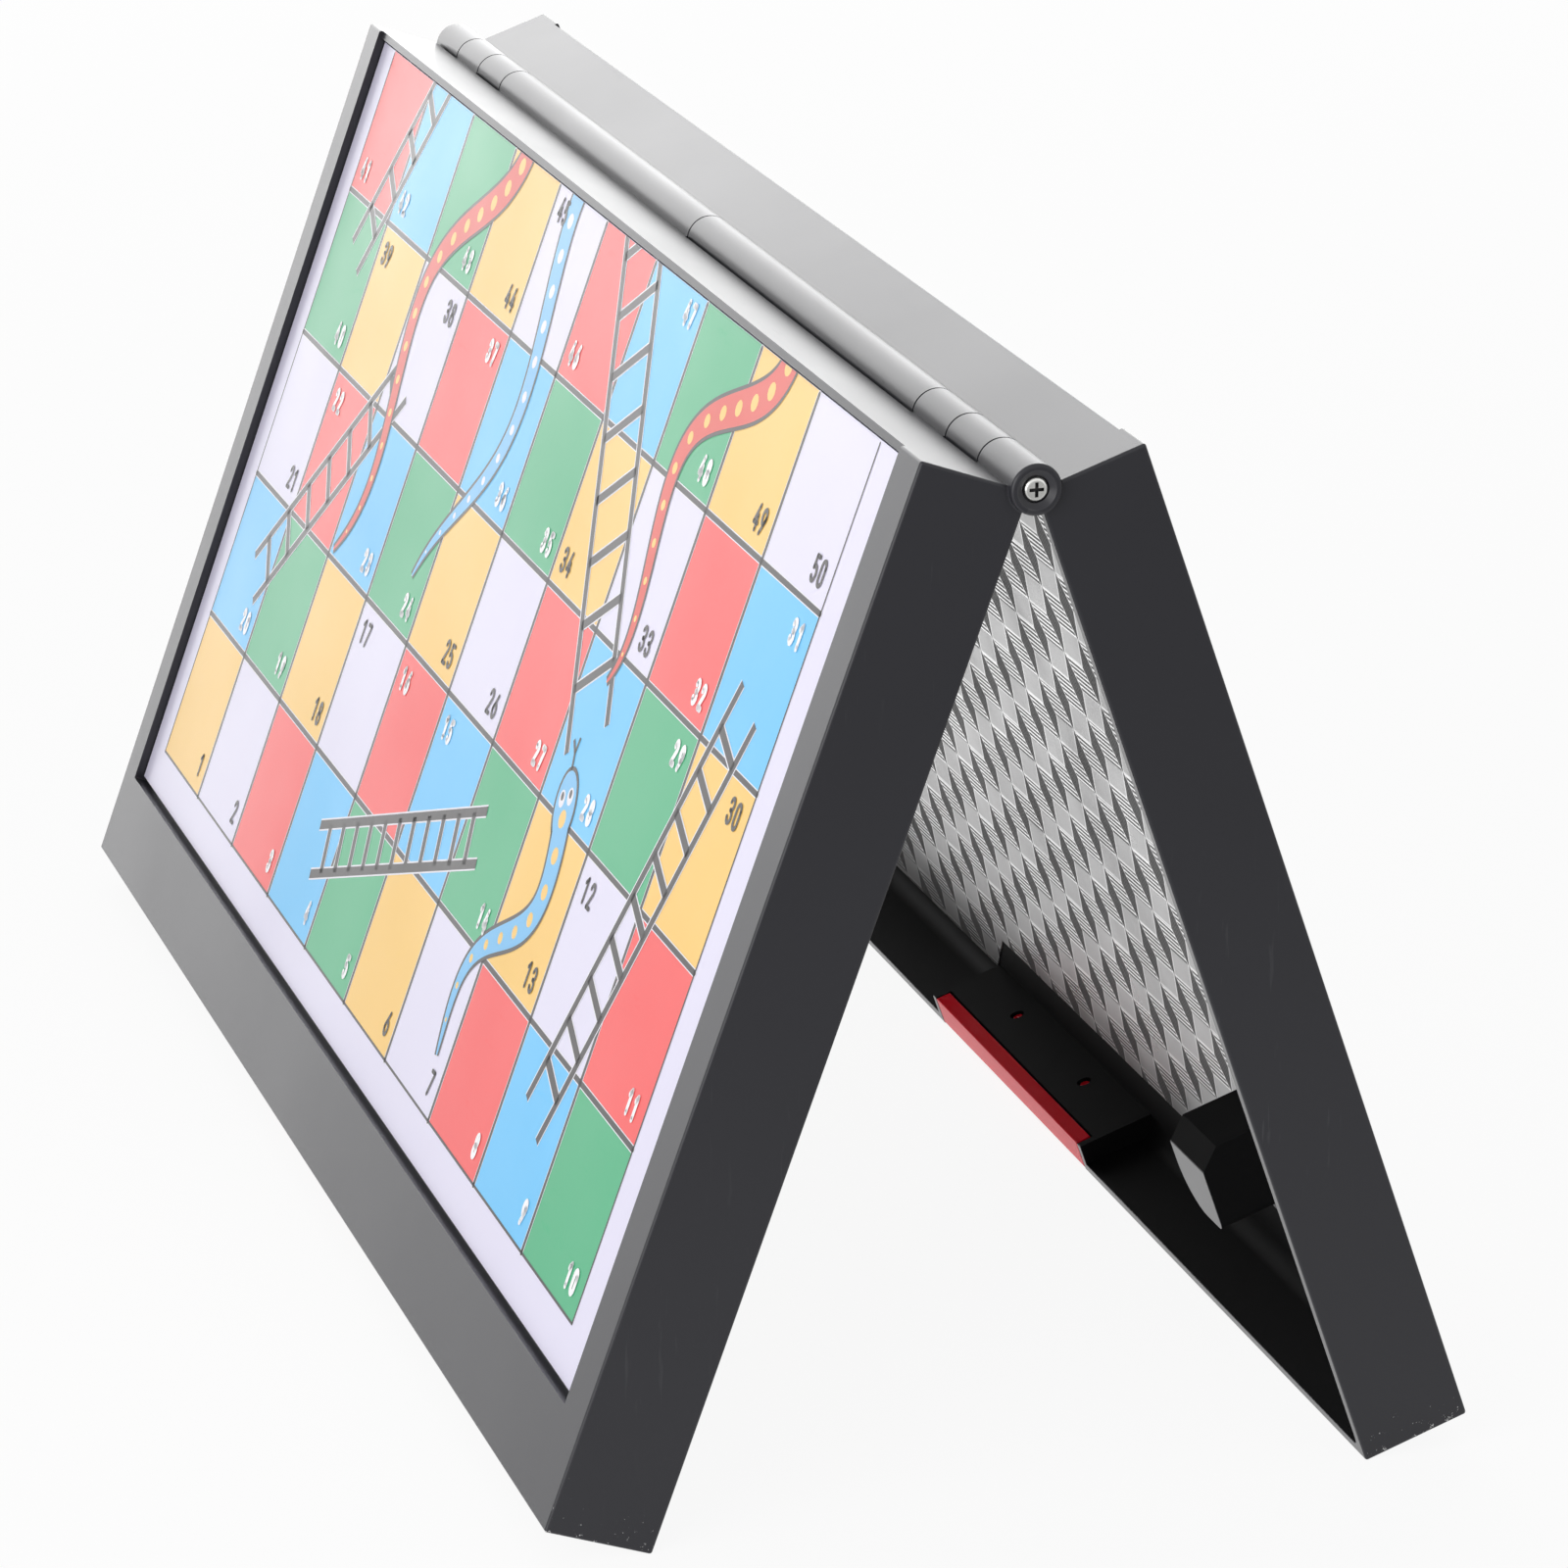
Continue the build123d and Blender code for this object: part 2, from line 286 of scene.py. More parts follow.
class SharedEffects:
    """Shader node groups that more than one finish uses. Scales are per metre."""

    MOTTLE_RANGE = (0.3, 0.7)
    SCRATCH_TURNS_AND_STRETCHES = ((0.5, 14.0), (-1.1, 22.0), (1.9, 9.0))
    SCRATCH_TILT = 0.7
    SCRATCH_RANGE = (0.66, 0.74)
    HANDLED_SCALE = 18.0
    HANDLED_RANGE = (0.45, 0.7)
    EDGE_RANGE = (0.99, 0.86)
    BREAK_SCALE = 90.0
    BREAK_RANGE = (0.42, 0.62)

    def __init__(self) -> None:
        """Builds each group once."""
        self.half_frames = {half: self._half_frame(half) for half in Half}
        self.grain = self._grain()
        self.scuffs = self._scuffs()
        self.edge_wear = self._edge_wear()

    @staticmethod
    def _start(name: str, sizes: dict[str, float], outputs: tuple[str, ...]) -> NodeGroup:
        """Starts an effect.

        Args:
            name: Name of the group.
            sizes: Numbers that the effect takes besides the place, with their defaults.
            outputs: Names of the numbers that it gives.

        Returns:
            The group.
        """
        inputs = {"Position": (VECTOR, None)} | {label: (FLOAT, value) for label, value in sizes.items()}
        return NodeGroup(name, "ShaderNodeTree", inputs, dict.fromkeys(outputs, FLOAT))

    def _half_frame(self, half: Half) -> Tree:
        """Place on one half, in millimetres.

        Args:
            half: The half.

        Returns:
            Group with outputs Along (board x), Down (from the hinge side) and Depth (from the base plane).
        """
        sheet = self._start(f"{half.label}_frame", {}, ("Along", "Down", "Depth"))
        place = sheet.take["Position"]
        down_axis = (0.0, half.value * SLOPE_SIN / MM, -SLOPE_COS / MM)
        depth_axis = (0.0, half.value * SLOPE_COS / MM, SLOPE_SIN / MM)
        down = sheet.measure("DOT_PRODUCT", place, down_axis)
        depth = sheet.measure("DOT_PRODUCT", place, depth_axis)
        return sheet.give(
            {
                "Along": sheet.math("DIVIDE", sheet.parts(place)[0], MM),
                "Down": sheet.math("ADD", down, AXIS_HEIGHT * SLOPE_COS - HINGE_SIDE),
                "Depth": sheet.math("SUBTRACT", depth, AXIS_HEIGHT * SLOPE_SIN),
            }
        )

    def _grain(self) -> Tree:
        """Soft mottling and a fine moulded texture.

        Returns:
            Group with outputs Mottle and Height, both about 0 to 1.
        """
        sizes = {"Mottle Scale": 25.0, "Grain Scale": 3000.0}
        sheet = self._start("surface_grain", sizes, ("Mottle", "Height"))
        place = sheet.take["Position"]
        wide = sheet.noise(place, sheet.take["Mottle Scale"], 4.0)
        fine = sheet.noise(place, sheet.take["Grain Scale"], 2.0)
        return sheet.give({"Mottle": sheet.span(wide, *self.MOTTLE_RANGE), "Height": fine})

    def _scuffs(self) -> Tree:
        """Sparse fine scratches and rubbed spots from handling.

        Returns:
            Group with the output Mask, 1 where the surface is scuffed.
        """
        sheet = self._start("handling_scuffs", {"Scale": 60.0, "Amount": 0.5}, ("Mask",))
        place = sheet.take["Position"]
        marks = []
        for turn, stretch in self.SCRATCH_TURNS_AND_STRETCHES:
            turned = {"Rotation": (turn, turn * self.SCRATCH_TILT, turn), "Scale": (1, stretch, 1)}
            mapped = sheet.add("ShaderNodeMapping", {"Vector": place} | turned).outputs[0]
            streak = sheet.noise(mapped, sheet.take["Scale"], 3.0, 0.7)
            marks.append(sheet.span(streak, *self.SCRATCH_RANGE))
        handled = sheet.span(sheet.noise(place, self.HANDLED_SCALE, 3.0), *self.HANDLED_RANGE)
        mask = sheet.product(sheet.fold("MAXIMUM", *marks), handled, sheet.take["Amount"])
        return sheet.give({"Mask": mask})

    def _edge_wear(self) -> Tree:
        """Rubbed outer edges.

        Returns:
            Group with the output Mask, 1 on the worn part of an edge.
        """
        sheet = self._start("edge_wear", {"Radius": 0.0004, "Amount": 0.6}, ("Mask",))
        rounded = sheet.add("ShaderNodeBevel", {"Radius": sheet.take["Radius"]}, samples=4).outputs[0]
        normal = sheet.add("ShaderNodeNewGeometry").outputs["Normal"]
        edge = sheet.span(sheet.measure("DOT_PRODUCT", rounded, normal), *self.EDGE_RANGE)
        patch = sheet.noise(sheet.take["Position"], self.BREAK_SCALE, 5.0)
        broken = sheet.span(patch, *self.BREAK_RANGE)
        return sheet.give({"Mask": sheet.product(edge, broken, sheet.take["Amount"])})


class MaterialSheet(NodeSheet):
    """Nodes of a new material round a Principled shader."""

    def __init__(self, name: str, effects: SharedEffects) -> None:
        """Starts the material.

        Args:
            name: Name of the material.
            effects: Shared effects that its finish may use.
        """
        self.material = bpy.data.materials.new(name)
        super().__init__(emptied_tree(self.material))
        self.effects = effects
        self.shader = self.add("ShaderNodeBsdfPrincipled")
        self.add("ShaderNodeOutputMaterial", {"Surface": self.shader.outputs[0]})
        self.place = self.add("ShaderNodeTexCoord").outputs["Object"]

    def shade(self, inputs: dict[str, object]) -> None:
        """Feeds the shader."""
        self.feed(self.shader, inputs)

    def fed(self, name: str) -> Socket:
        """Socket that feeds one of the shader's inputs so far."""
        return self.shader.inputs[name].links[0].from_socket

    def effect(self, tree: Tree, sizes: dict[str, float] | None = None) -> bpy.types.NodeOutputs:
        """Places a shared effect and gives its outputs."""
        return self.add("ShaderNodeGroup", {"Position": self.place} | (sizes or {}), node_tree=tree).outputs


class Workshop:
    """Keeps the shared effects and the materials made so far."""

    def __init__(self) -> None:
        """Builds the shared effects first."""
        self.effects = SharedEffects()
        self.made: dict[str, bpy.types.Material] = {}


@dataclass(frozen=True)
class Finish:
    """A named look, whose material is made once."""

    name: str

    def material(self, shop: Workshop) -> bpy.types.Material:
        """Hands out the material.

        Args:
            shop: Workshop with the shared effects.

        Returns:
            The material.
        """
        if self.name not in shop.made:
            sheet = MaterialSheet(self.name, shop.effects)
            self.paint(sheet)
            shop.made[self.name] = sheet.material
        return shop.made[self.name]

    def paint(self, sheet: MaterialSheet) -> None:
        """Adds the finish's nodes to those of its material."""
        raise NotImplementedError


@dataclass(frozen=True)
class Texture:
    """Satin surface with mottling, fine grain and scuffs. Scales are per metre, the depth in metres."""

    roughness: Point
    mottle_scale: float
    grain_scale: float
    grain_depth: float
    grain_strength: float
    scuff_scale: float
    scuff_amount: float
    scuff_roughness: float

    def apply(self, sheet: MaterialSheet) -> tuple[Socket, Socket]:
        """Feeds the shader's roughness and normal.

        Args:
            sheet: Nodes of the material.

        Returns:
            The mottling and the mask of the scuffs.
        """
        scales = {"Mottle Scale": self.mottle_scale, "Grain Scale": self.grain_scale}
        grain = sheet.effect(sheet.effects.grain, scales)
        marks = {"Scale": self.scuff_scale, "Amount": self.scuff_amount}
        scuffed = sheet.effect(sheet.effects.scuffs, marks)["Mask"]
        satin = sheet.blend(grain["Mottle"], *self.roughness)
        rough = sheet.math("ADD", satin, sheet.product(scuffed, self.scuff_roughness))
        bump = sheet.bump(self.grain_strength, self.grain_depth, grain["Height"])
        sheet.shade({"Roughness": rough, "Normal": bump})
        return grain["Mottle"], scuffed


MOULDED = Texture(
    roughness=(0.38, 0.46),
    mottle_scale=22.0,
    grain_scale=2600.0,
    grain_depth=0.000012,
    grain_strength=0.5,
    scuff_scale=70.0,
    scuff_amount=0.55,
    scuff_roughness=0.18,
)
POLISHED = replace(MOULDED, roughness=(0.20, 0.28))
VARNISHED = Texture(
    roughness=(0.32, 0.38),
    mottle_scale=35.0,
    grain_scale=700.0,
    grain_depth=0.00002,
    grain_strength=0.25,
    scuff_scale=90.0,
    scuff_amount=0.5,
    scuff_roughness=0.12,
)


@dataclass(frozen=True)
class MouldedPlastic(Finish):
    """Moulded plastic with mottling, a fine texture, scuffs and worn edges."""

    base: Colour
    mottled: Colour
    worn: Colour
    texture: Texture = MOULDED
    wear: float = 0.5
    scuff_paleness: float = 0.35

    def paint(self, sheet: MaterialSheet) -> None:
        """Adds the plastic's nodes.

        Args:
            sheet: Nodes of the material.
        """
        mottle, scuffed = self.texture.apply(sheet)
        worn = sheet.effect(sheet.effects.edge_wear, {"Amount": self.wear})["Mask"]
        body = sheet.mix(mottle, self.base, self.mottled)
        marked = sheet.mix(sheet.product(scuffed, self.scuff_paleness), body, self.worn)
        sheet.shade({"Base Color": sheet.mix(worn, marked, self.worn)})


@dataclass(frozen=True)
class TrayPlastic(MouldedPlastic):
    """Black plastic of one tray: satin outside and dull within, with a painted shade that darkens its inner
    faces, and chipped lower corners.

    Places are in millimetres on the half: along it, down from the hinge side and deep from the base.
    """

    half: Half = Half.FRONT
    inner_half: float = 123.5
    inner_start: float = 1.6
    inner_end: float = 128.7
    inner_depth: float = 10.8
    rim_depth: float = 0.3
    # Painted shade: the darker colour given to the tray's inner faces
    inside: Colour = (0.009, 0.009, 0.0094, 1.0)
    inside_roughness: float = 0.62
    chipped: Colour = (0.62, 0.62, 0.62, 1.0)
    chip_scale: float = 1500.0
    chip_rise: Point = (121.0, 130.5)
    chip_gain: float = 0.20
    chip_range: Point = (0.80, 0.84)
    chip_reach: float = 124.4
    base_gloss: float = 0.05
    skin_ior: float = 1.5
    skin_roughness: float = 0.32
    skin_range: Point = (0.38, 0.60)
    skin: Point = (0.68, 0.56)

    def paint(self, sheet: MaterialSheet) -> None:
        """Adds the tray's nodes to those of the plain plastic.

        Args:
            sheet: Nodes of the material.
        """
        super().paint(sheet)
        outside, rough = sheet.fed("Base Color"), sheet.fed("Roughness")
        place = sheet.effect(sheet.effects.half_frames[self.half])
        down, depth = place["Down"], place["Depth"]
        reach = sheet.math("ABSOLUTE", place["Along"])
        past_hinge = sheet.math("GREATER_THAN", down, self.inner_start)
        # Within the tray: duller plastic, and a painted shade that darkens its colour
        dull_and_shaded = sheet.product(
            sheet.math("LESS_THAN", reach, self.inner_half),
            past_hinge,
            sheet.math("LESS_THAN", down, self.inner_end),
            sheet.math("LESS_THAN", depth, self.inner_depth),
            sheet.math("GREATER_THAN", depth, self.rim_depth),
        )
        flakes = sheet.noise(sheet.place, self.chip_scale, 3.0, 0.8)
        spread = sheet.math("ADD", flakes, sheet.span(down, *self.chip_rise, 0.0, self.chip_gain))
        at_ends = sheet.math("GREATER_THAN", reach, self.chip_reach)
        flaked = sheet.product(sheet.span(spread, *self.chip_range), at_ends)
        open_rim = sheet.product(sheet.math("LESS_THAN", depth, self.rim_depth), past_hinge)
        glossy = sheet.math("MAXIMUM", sheet.span(rough, *self.skin_range, *self.skin), open_rim)
        sheet.shade(
            {
                "Base Color": sheet.mix(dull_and_shaded, sheet.mix(flaked, outside, self.chipped), self.inside),
                "Roughness": sheet.math("MAXIMUM", rough, sheet.product(dull_and_shaded, self.inside_roughness)),
                "Specular IOR Level": self.base_gloss,
                "Coat Weight": sheet.product(glossy, sheet.math("SUBTRACT", 1.0, dull_and_shaded)),
                "Coat IOR": self.skin_ior,
                "Coat Roughness": self.skin_roughness,
            }
        )


@dataclass(frozen=True)
class LatchPlastic(MouldedPlastic):
    """Red plastic of the latch and the catch, with a painted glow on its thin cap: an emission that stands in
    for light.
    """

    texture: Texture = POLISHED
    wear: float = 0.25
    half: Half = Half.BACK
    cap_depth: float = 0.3
    gloss: float = 0.02
    cap_shine: float = 0.3
    cap_roughness: float = 0.25
    lit_through: Colour = (0.95, 0.03, 0.06, 1.0)
    lit_strength: float = 0.24

    def paint(self, sheet: MaterialSheet) -> None:
        """Adds the cap's nodes to those of the plain plastic.

        Args:
            sheet: Nodes of the material.
        """
        super().paint(sheet)
        depth = sheet.effect(sheet.effects.half_frames[self.half])["Depth"]
        cap = sheet.math("LESS_THAN", depth, self.cap_depth)
        # The cap's emission is painted light: it makes the thin cap glow red though no lamp lights it
        sheet.shade(
            {
                "Emission Color": sheet.mix(cap, BLACK, self.lit_through),
                "Emission Strength": self.lit_strength,
                "Specular IOR Level": self.gloss,
                "Coat Weight": sheet.product(cap, self.cap_shine),
                "Coat Roughness": self.cap_roughness,
            }
        )


@dataclass(frozen=True)
class PrintInk(Finish):
    """A printed colour under the sheet's satin varnish."""

    colour: Colour
    shade: float = 0.93
    unevenness: float = 0.5
    texture: Texture = VARNISHED

    def paint(self, sheet: MaterialSheet) -> None:
        """Adds the ink's nodes.

        Args:
            sheet: Nodes of the material.
        """
        mottle, _ = self.texture.apply(sheet)
        darker = tuple(channel * self.shade for channel in self.colour[:3]) + (1.0,)
        uneven = sheet.product(mottle, self.unevenness)
        sheet.shade({"Base Color": sheet.mix(uneven, self.colour, darker)})


@dataclass(frozen=True)
class BrushedMetal(Finish):
    """Metal with a drawn grain along one axis. Scales are per metre, the depth in metres."""

    colour: Colour
    dark: Colour
    stretch: Place
    roughness: Point = (0.22, 0.42)
    line_scale: float = 900.0
    line_range: Point = (0.3, 0.7)
    line_depth: float = 0.00001
    line_strength: float = 0.3
    mottle_scale: float = 120.0

    def paint(self, sheet: MaterialSheet) -> None:
        """Adds the metal's nodes.

        Args:
            sheet: Nodes of the material.
        """
        mapped = sheet.add("ShaderNodeMapping", {"Vector": sheet.place, "Scale": self.stretch}).outputs[0]
        lines = sheet.noise(mapped, self.line_scale, 4.0)
        mottle = sheet.effect(sheet.effects.grain, {"Mottle Scale": self.mottle_scale})["Mottle"]
        sheet.shade(
            {
                "Base Color": sheet.mix(sheet.product(lines, mottle), self.colour, self.dark),
                "Metallic": 1.0,
                "Roughness": sheet.span(lines, *self.line_range, *self.roughness),
                "Normal": sheet.bump(self.line_strength, self.line_depth, lines),
            }
        )


@dataclass(frozen=True)
class ScrewMetal(BrushedMetal):
    """Bright nickel, with painted shade in the cross-shaped hollow of each screw's head: a dark colour there.
    Sizes are in millimetres.
    """

    head_top: float = 126.0
    top_skin: float = 0.03
    recess_depth: float = 0.5
    recess_reach: float = 0.93
    recess: Colour = (0.05, 0.05, 0.05, 1.0)

    def paint(self, sheet: MaterialSheet) -> None:
        """Adds the recess to the plain metal.

        Args:
            sheet: Nodes of the material.
        """
        super().paint(sheet)
        # Painted shade: the cross-shaped hollow in the head gets a dark colour in place of its shade
        axis = {0: sheet.place, 1: (0.0, 0.0, AXIS_HEIGHT * MM)}
        x, y, z = sheet.parts(sheet.add("ShaderNodeVectorMath", axis, operation="SUBTRACT").outputs[0])
        radius = sheet.measure("LENGTH", sheet.vector(0.0, y, z))
        reach = sheet.math("ABSOLUTE", x)
        recess = sheet.product(
            sheet.math("LESS_THAN", radius, self.recess_reach * MM),
            sheet.math("LESS_THAN", reach, (self.head_top - self.top_skin) * MM),
            sheet.math("GREATER_THAN", reach, (self.head_top - self.recess_depth) * MM),
        )
        sheet.shade({"Base Color": sheet.mix(recess, sheet.fed("Base Color"), self.recess)})


@dataclass(frozen=True)
class BlockPatternFoil(Finish):
    """Silver foil with the traditional tumbling-blocks pattern: plain, hatched and dark rhombs.

    Pattern sizes are in millimetres on the half, seams in shares of a row, and the relief in metres.
    """

    half: Half
    column_pitch: float = 8.7
    row_pitch: float = 9.15
    strip_width: float = 6.05
    strip_blur: float = 0.06
    lean: float = 1.12
    lean_range: Point = (0.49, 0.51)
    hatch_pitch: float = 0.72
    hatch_range: Point = (-0.1, 0.5)
    seam: Point = (0.012, 0.03)
    outline: Point = (0.10, 0.22)
    edge_strength: float = 0.75
    first_column: float = 65.0
    first_row: float = 43.1
    light: float = 0.64
    hatched: float = 0.22
    shaded: float = 0.18
    shaded_range: Point = (0.6, 1.5)
    bright: float = 1.0
    wear: float = 0.12
    mottle_scale: float = 60.0
    roughness: Point = (0.26, 0.36)
    lacquer_gloss: float = 0.01
    metal_range: Point = (0.13, 0.90)
    relief_strength: float = 0.2
    relief_depth: float = 0.00002

    def paint(self, sheet: MaterialSheet) -> None:
        """Adds the foil's nodes.

        Args:
            sheet: Nodes of the material.
        """
        place = sheet.effect(sheet.effects.half_frames[self.half])
        along, down = place["Along"], place["Down"]

        # Columns of rhombs that lean one way and then the other, each second column half a row lower
        shift = sheet.math("SUBTRACT", along, self.first_column)
        column = sheet.math("ROUND", sheet.math("DIVIDE", shift, self.column_pitch))
        across = sheet.math("SUBTRACT", shift, sheet.product(column, self.column_pitch))
        row = sheet.math("DIVIDE", sheet.math("SUBTRACT", down, self.first_row), self.row_pitch)
        phase = sheet.math("FRACT", sheet.math("ADD", row, sheet.product(column, 0.5)))
        from_seam = sheet.gap(phase, 0.5)
        zigzag = sheet.math("SUBTRACT", sheet.product(from_seam, 4.0), 1.0)
        reach = sheet.gap(across, sheet.product(zigzag, self.lean))

        # Masks of the strip, its leaning rhombs, their hatching and the bright edges
        half_strip = self.strip_width / 2
        strip = sheet.span(reach, half_strip + self.strip_blur, half_strip - self.strip_blur)
        leaning = sheet.span(phase, *self.lean_range)
        lines = sheet.span(sheet.wave(down, self.hatch_pitch), *self.hatch_range)
        seam = sheet.product(sheet.span(from_seam, *self.seam, 1.0, 0.0), strip)
        outline = sheet.span(sheet.gap(reach, half_strip), *self.outline, 1.0, 0.0)
        edge = sheet.product(sheet.math("MAXIMUM", outline, seam), self.edge_strength)

        # Brightness of the print
        hatched = sheet.blend(lines, self.hatched, self.bright)
        cell = sheet.blend(leaning, self.light, hatched)
        low, high = (self.shaded * factor for factor in self.shaded_range)
        dark = sheet.span(sheet.wave(along, self.hatch_pitch), -1.0, 1.0, low, high)
        edged = sheet.blend(edge, sheet.blend(strip, dark, cell), self.bright)
        mottle = sheet.effect(sheet.effects.grain, {"Mottle Scale": self.mottle_scale})["Mottle"]
        worn = sheet.blend(sheet.product(mottle, self.wear), edged, self.shaded)
        relief = sheet.math("ADD", sheet.product(lines, leaning, strip), strip)
        sheet.shade(
            {
                "Base Color": worn,
                "Metallic": sheet.span(worn, *self.metal_range),
                "Roughness": sheet.blend(mottle, *self.roughness),
                "Specular IOR Level": self.lacquer_gloss,
                "Normal": sheet.bump(self.relief_strength, self.relief_depth, relief),
            }
        )


def plain_colour(red: float, green: float, blue: float) -> Colour:
    """Colour from sRGB values of 0 to 255.

    Args:
        red: Red value.
        green: Green value.
        blue: Blue value.

    Returns:
        Linear colour with alpha 1.
    """

    def linear(value: float) -> float:
        """Linear value of one sRGB channel."""
        share = value / 255
        return share / 12.92 if share <= 0.04045 else ((share + 0.055) / 1.055) ** 2.4

    return linear(red), linear(green), linear(blue), 1.0


CASE_COLOURS = (plain_colour(42, 42, 47), plain_colour(46, 46, 51), plain_colour(112, 112, 116))
FRONT_PLASTIC = TrayPlastic("case_plastic_front", *CASE_COLOURS, half=Half.FRONT)
BACK_PLASTIC = TrayPlastic("case_plastic_back", *CASE_COLOURS, half=Half.BACK)
RED_COLOURS = (plain_colour(248, 8, 34), plain_colour(252, 14, 42), plain_colour(250, 120, 140))
LATCH_PLASTIC = LatchPlastic("latch_red", *RED_COLOURS, half=Half.BACK)
CATCH_PLASTIC = LatchPlastic("catch_red", *RED_COLOURS, half=Half.FRONT)
FRONT_FOIL = BlockPatternFoil("foil_front", Half.FRONT)
BACK_FOIL = BlockPatternFoil("foil_back", Half.BACK)
PAPER = PrintInk("sheet_white", plain_colour(229, 225, 246), shade=0.985)
RED_INK = PrintInk("ink_red", plain_colour(246, 74, 74))
BLUE_INK = PrintInk("ink_blue", plain_colour(96, 198, 252))
GREEN_INK = PrintInk("ink_green", plain_colour(36, 172, 116))
YELLOW_INK = PrintInk("ink_yellow", plain_colour(250, 202, 100))
DARK_INK = PrintInk("ink_dark", plain_colour(30, 24, 26))
PALE_INK = PrintInk("ink_pale", plain_colour(238, 236, 244), shade=0.985)
NUMERAL_WHITE = PrintInk("ink_white", plain_colour(252, 252, 254), shade=0.99)
SNAKE_RED = PrintInk("ink_snake_red", plain_colour(222, 62, 44))
SNAKE_BLUE = PrintInk("ink_snake_blue", plain_colour(110, 190, 240))
STEEL_COLOURS = (plain_colour(178, 180, 184), plain_colour(120, 122, 126))
SHEET_STEEL = BrushedMetal("plate_steel", *STEEL_COLOURS, stretch=(1, 40, 40))
NICKEL_COLOURS = (plain_colour(240, 240, 236), plain_colour(184, 184, 182))
SCREW_STEEL = ScrewMetal("screw_nickel", *NICKEL_COLOURS, stretch=(30, 1, 1))
SPRING_COLOURS = (plain_colour(150, 152, 158), plain_colour(92, 94, 100))
SPRING_STEEL = BrushedMetal("spring_steel", *SPRING_COLOURS, stretch=(1, 30, 30))

# Inks of the squares in their order along a row; each row starts this many inks further on
SQUARE_INKS = {
    "Yellow": YELLOW_INK,
    "White": PAPER,
    "Red": RED_INK,
    "Blue": BLUE_INK,
    "Green": GREEN_INK,
}
INKS_PER_ROW = 3


class PrintGroup(NodeGroup):
    """Geometry node group that draws flat print."""

    DOT_CORNERS = 12

    def __init__(self, name: str, inputs: dict[str, tuple[str, object]]) -> None:
        """Starts a group that gives geometry."""
        super().__init__(name, "GeometryNodeTree", inputs, {"Geometry": GEOMETRY})

    def inked(self, geometry: Socket, ink: Socket, chosen: object = True) -> Socket:
        """Gives the chosen faces an ink."""
        return self.add("GeometryNodeSetMaterial", {0: geometry, 1: chosen, 2: ink}).outputs[0]

    def line(self, start: object, end: object) -> Socket:
        """Straight line between two places."""
        return self.add("GeometryNodeCurvePrimitiveLine", {0: start, 1: end}).outputs[0]

    def bar(self, half: Socket) -> Socket:
        """Line across the middle, with its half length."""
        return self.line(self.vector(self.product(half, -1.0)), self.vector(half))

    def disc(self, corners: int, radius: object, ink: Socket) -> Socket:
        """Flat disc with an ink."""
        circle = self.add("GeometryNodeMeshCircle", {0: corners, 1: radius}, fill_type="NGON")
        return self.inked(circle.outputs[0], ink)

    def copies(self, points: Socket, shape: Socket, **more: object) -> Socket:
        """Copies of a shape on points, with a Selection or Scale."""
        inputs = {"Points": points, "Instance": shape} | more
        return self.add("GeometryNodeInstanceOnPoints", inputs).outputs[0]

    def dots(self, points: Socket, diameter: object, ink: Socket, **more: object) -> Socket:
        """Small discs on points, with a Selection or Scale."""
        return self.copies(points, self.disc(self.DOT_CORNERS, self.product(diameter, 0.5), ink), **more)

    def moved(self, geometry: Socket, place: Socket, **more: object) -> Socket:
        """Geometry in another place, with a Rotation or Scale."""
        inputs = {"Geometry": geometry, "Translation": place} | more
        return self.add("GeometryNodeTransform", inputs).outputs[0]

    def joined(self, parts: list[Socket]) -> Socket:
        """Parts as one geometry.

        Args:
            parts: Geometry sockets, in order.

        Returns:
            The joined geometry.
        """
        join = self.add("GeometryNodeJoinGeometry")
        for part in parts:
            self.feed(join, {0: part})
        return join.outputs[0]

    def realized(self, geometry: Socket) -> Socket:
        """Geometry with its copies made real."""
        return self.add("GeometryNodeRealizeInstances", {0: geometry}).outputs[0]

    def ribbon(self, curve: Socket, width: object, ink: Socket, scale: object = 1.0) -> Socket:
        """Flat ribbon along a curve.

        Args:
            curve: Curve to follow.
            width: Full width.
            ink: Material socket.
            scale: Factor on the width along the curve.

        Returns:
            The ribbon's mesh.
        """
        profile = self.bar(self.product(width, 0.5))
        flat = self.add("GeometryNodeSetCurveNormal", {0: curve}, mode="Z_UP").outputs[0]
        mesh = self.add("GeometryNodeCurveToMesh", {0: flat, 1: profile, 2: scale})
        return self.inked(mesh.outputs[0], ink)

    def finish(self, parts: list[Socket]) -> Tree:
        """Joins parts, realizes them and hands them to the output."""
        return self.give({"Geometry": self.realized(self.joined(parts))})


@dataclass(frozen=True)
class Oval:
    """Part of a snake's head, in snake widths from the neck, with its ink and its layer."""

    place: Point
    reach: Point
    ink: str
    level: float
    bordered: bool = False


HEAD_OVALS = (
    Oval((0.0, 0.30), (0.64, 0.88), "Ink", 0.0, bordered=True),
    Oval((0.0, 0.30), (0.64, 0.88), "Skin", 1.5),
    Oval((-0.26, 0.52), (0.19, 0.22), "Eye", 3.0),
    Oval((0.26, 0.52), (0.19, 0.22), "Eye", 3.0),
    Oval((-0.26, 0.58), (0.09, 0.11), "Ink", 4.0),
    Oval((0.26, 0.58), (0.09, 0.11), "Ink", 4.0),
)
OVAL_CORNERS = 28
TONGUE = (((0.0, 1.1), (0.0, 1.62)), ((0.0, 1.6), (-0.20, 1.95)), ((0.0, 1.6), (0.20, 1.95)))
TONGUE_WIDTH = 0.11
COURSE_STEP = 0.8
TAPER = 0.985
TAPER_POWER = 0.6
SPOT_SHARE = 0.46


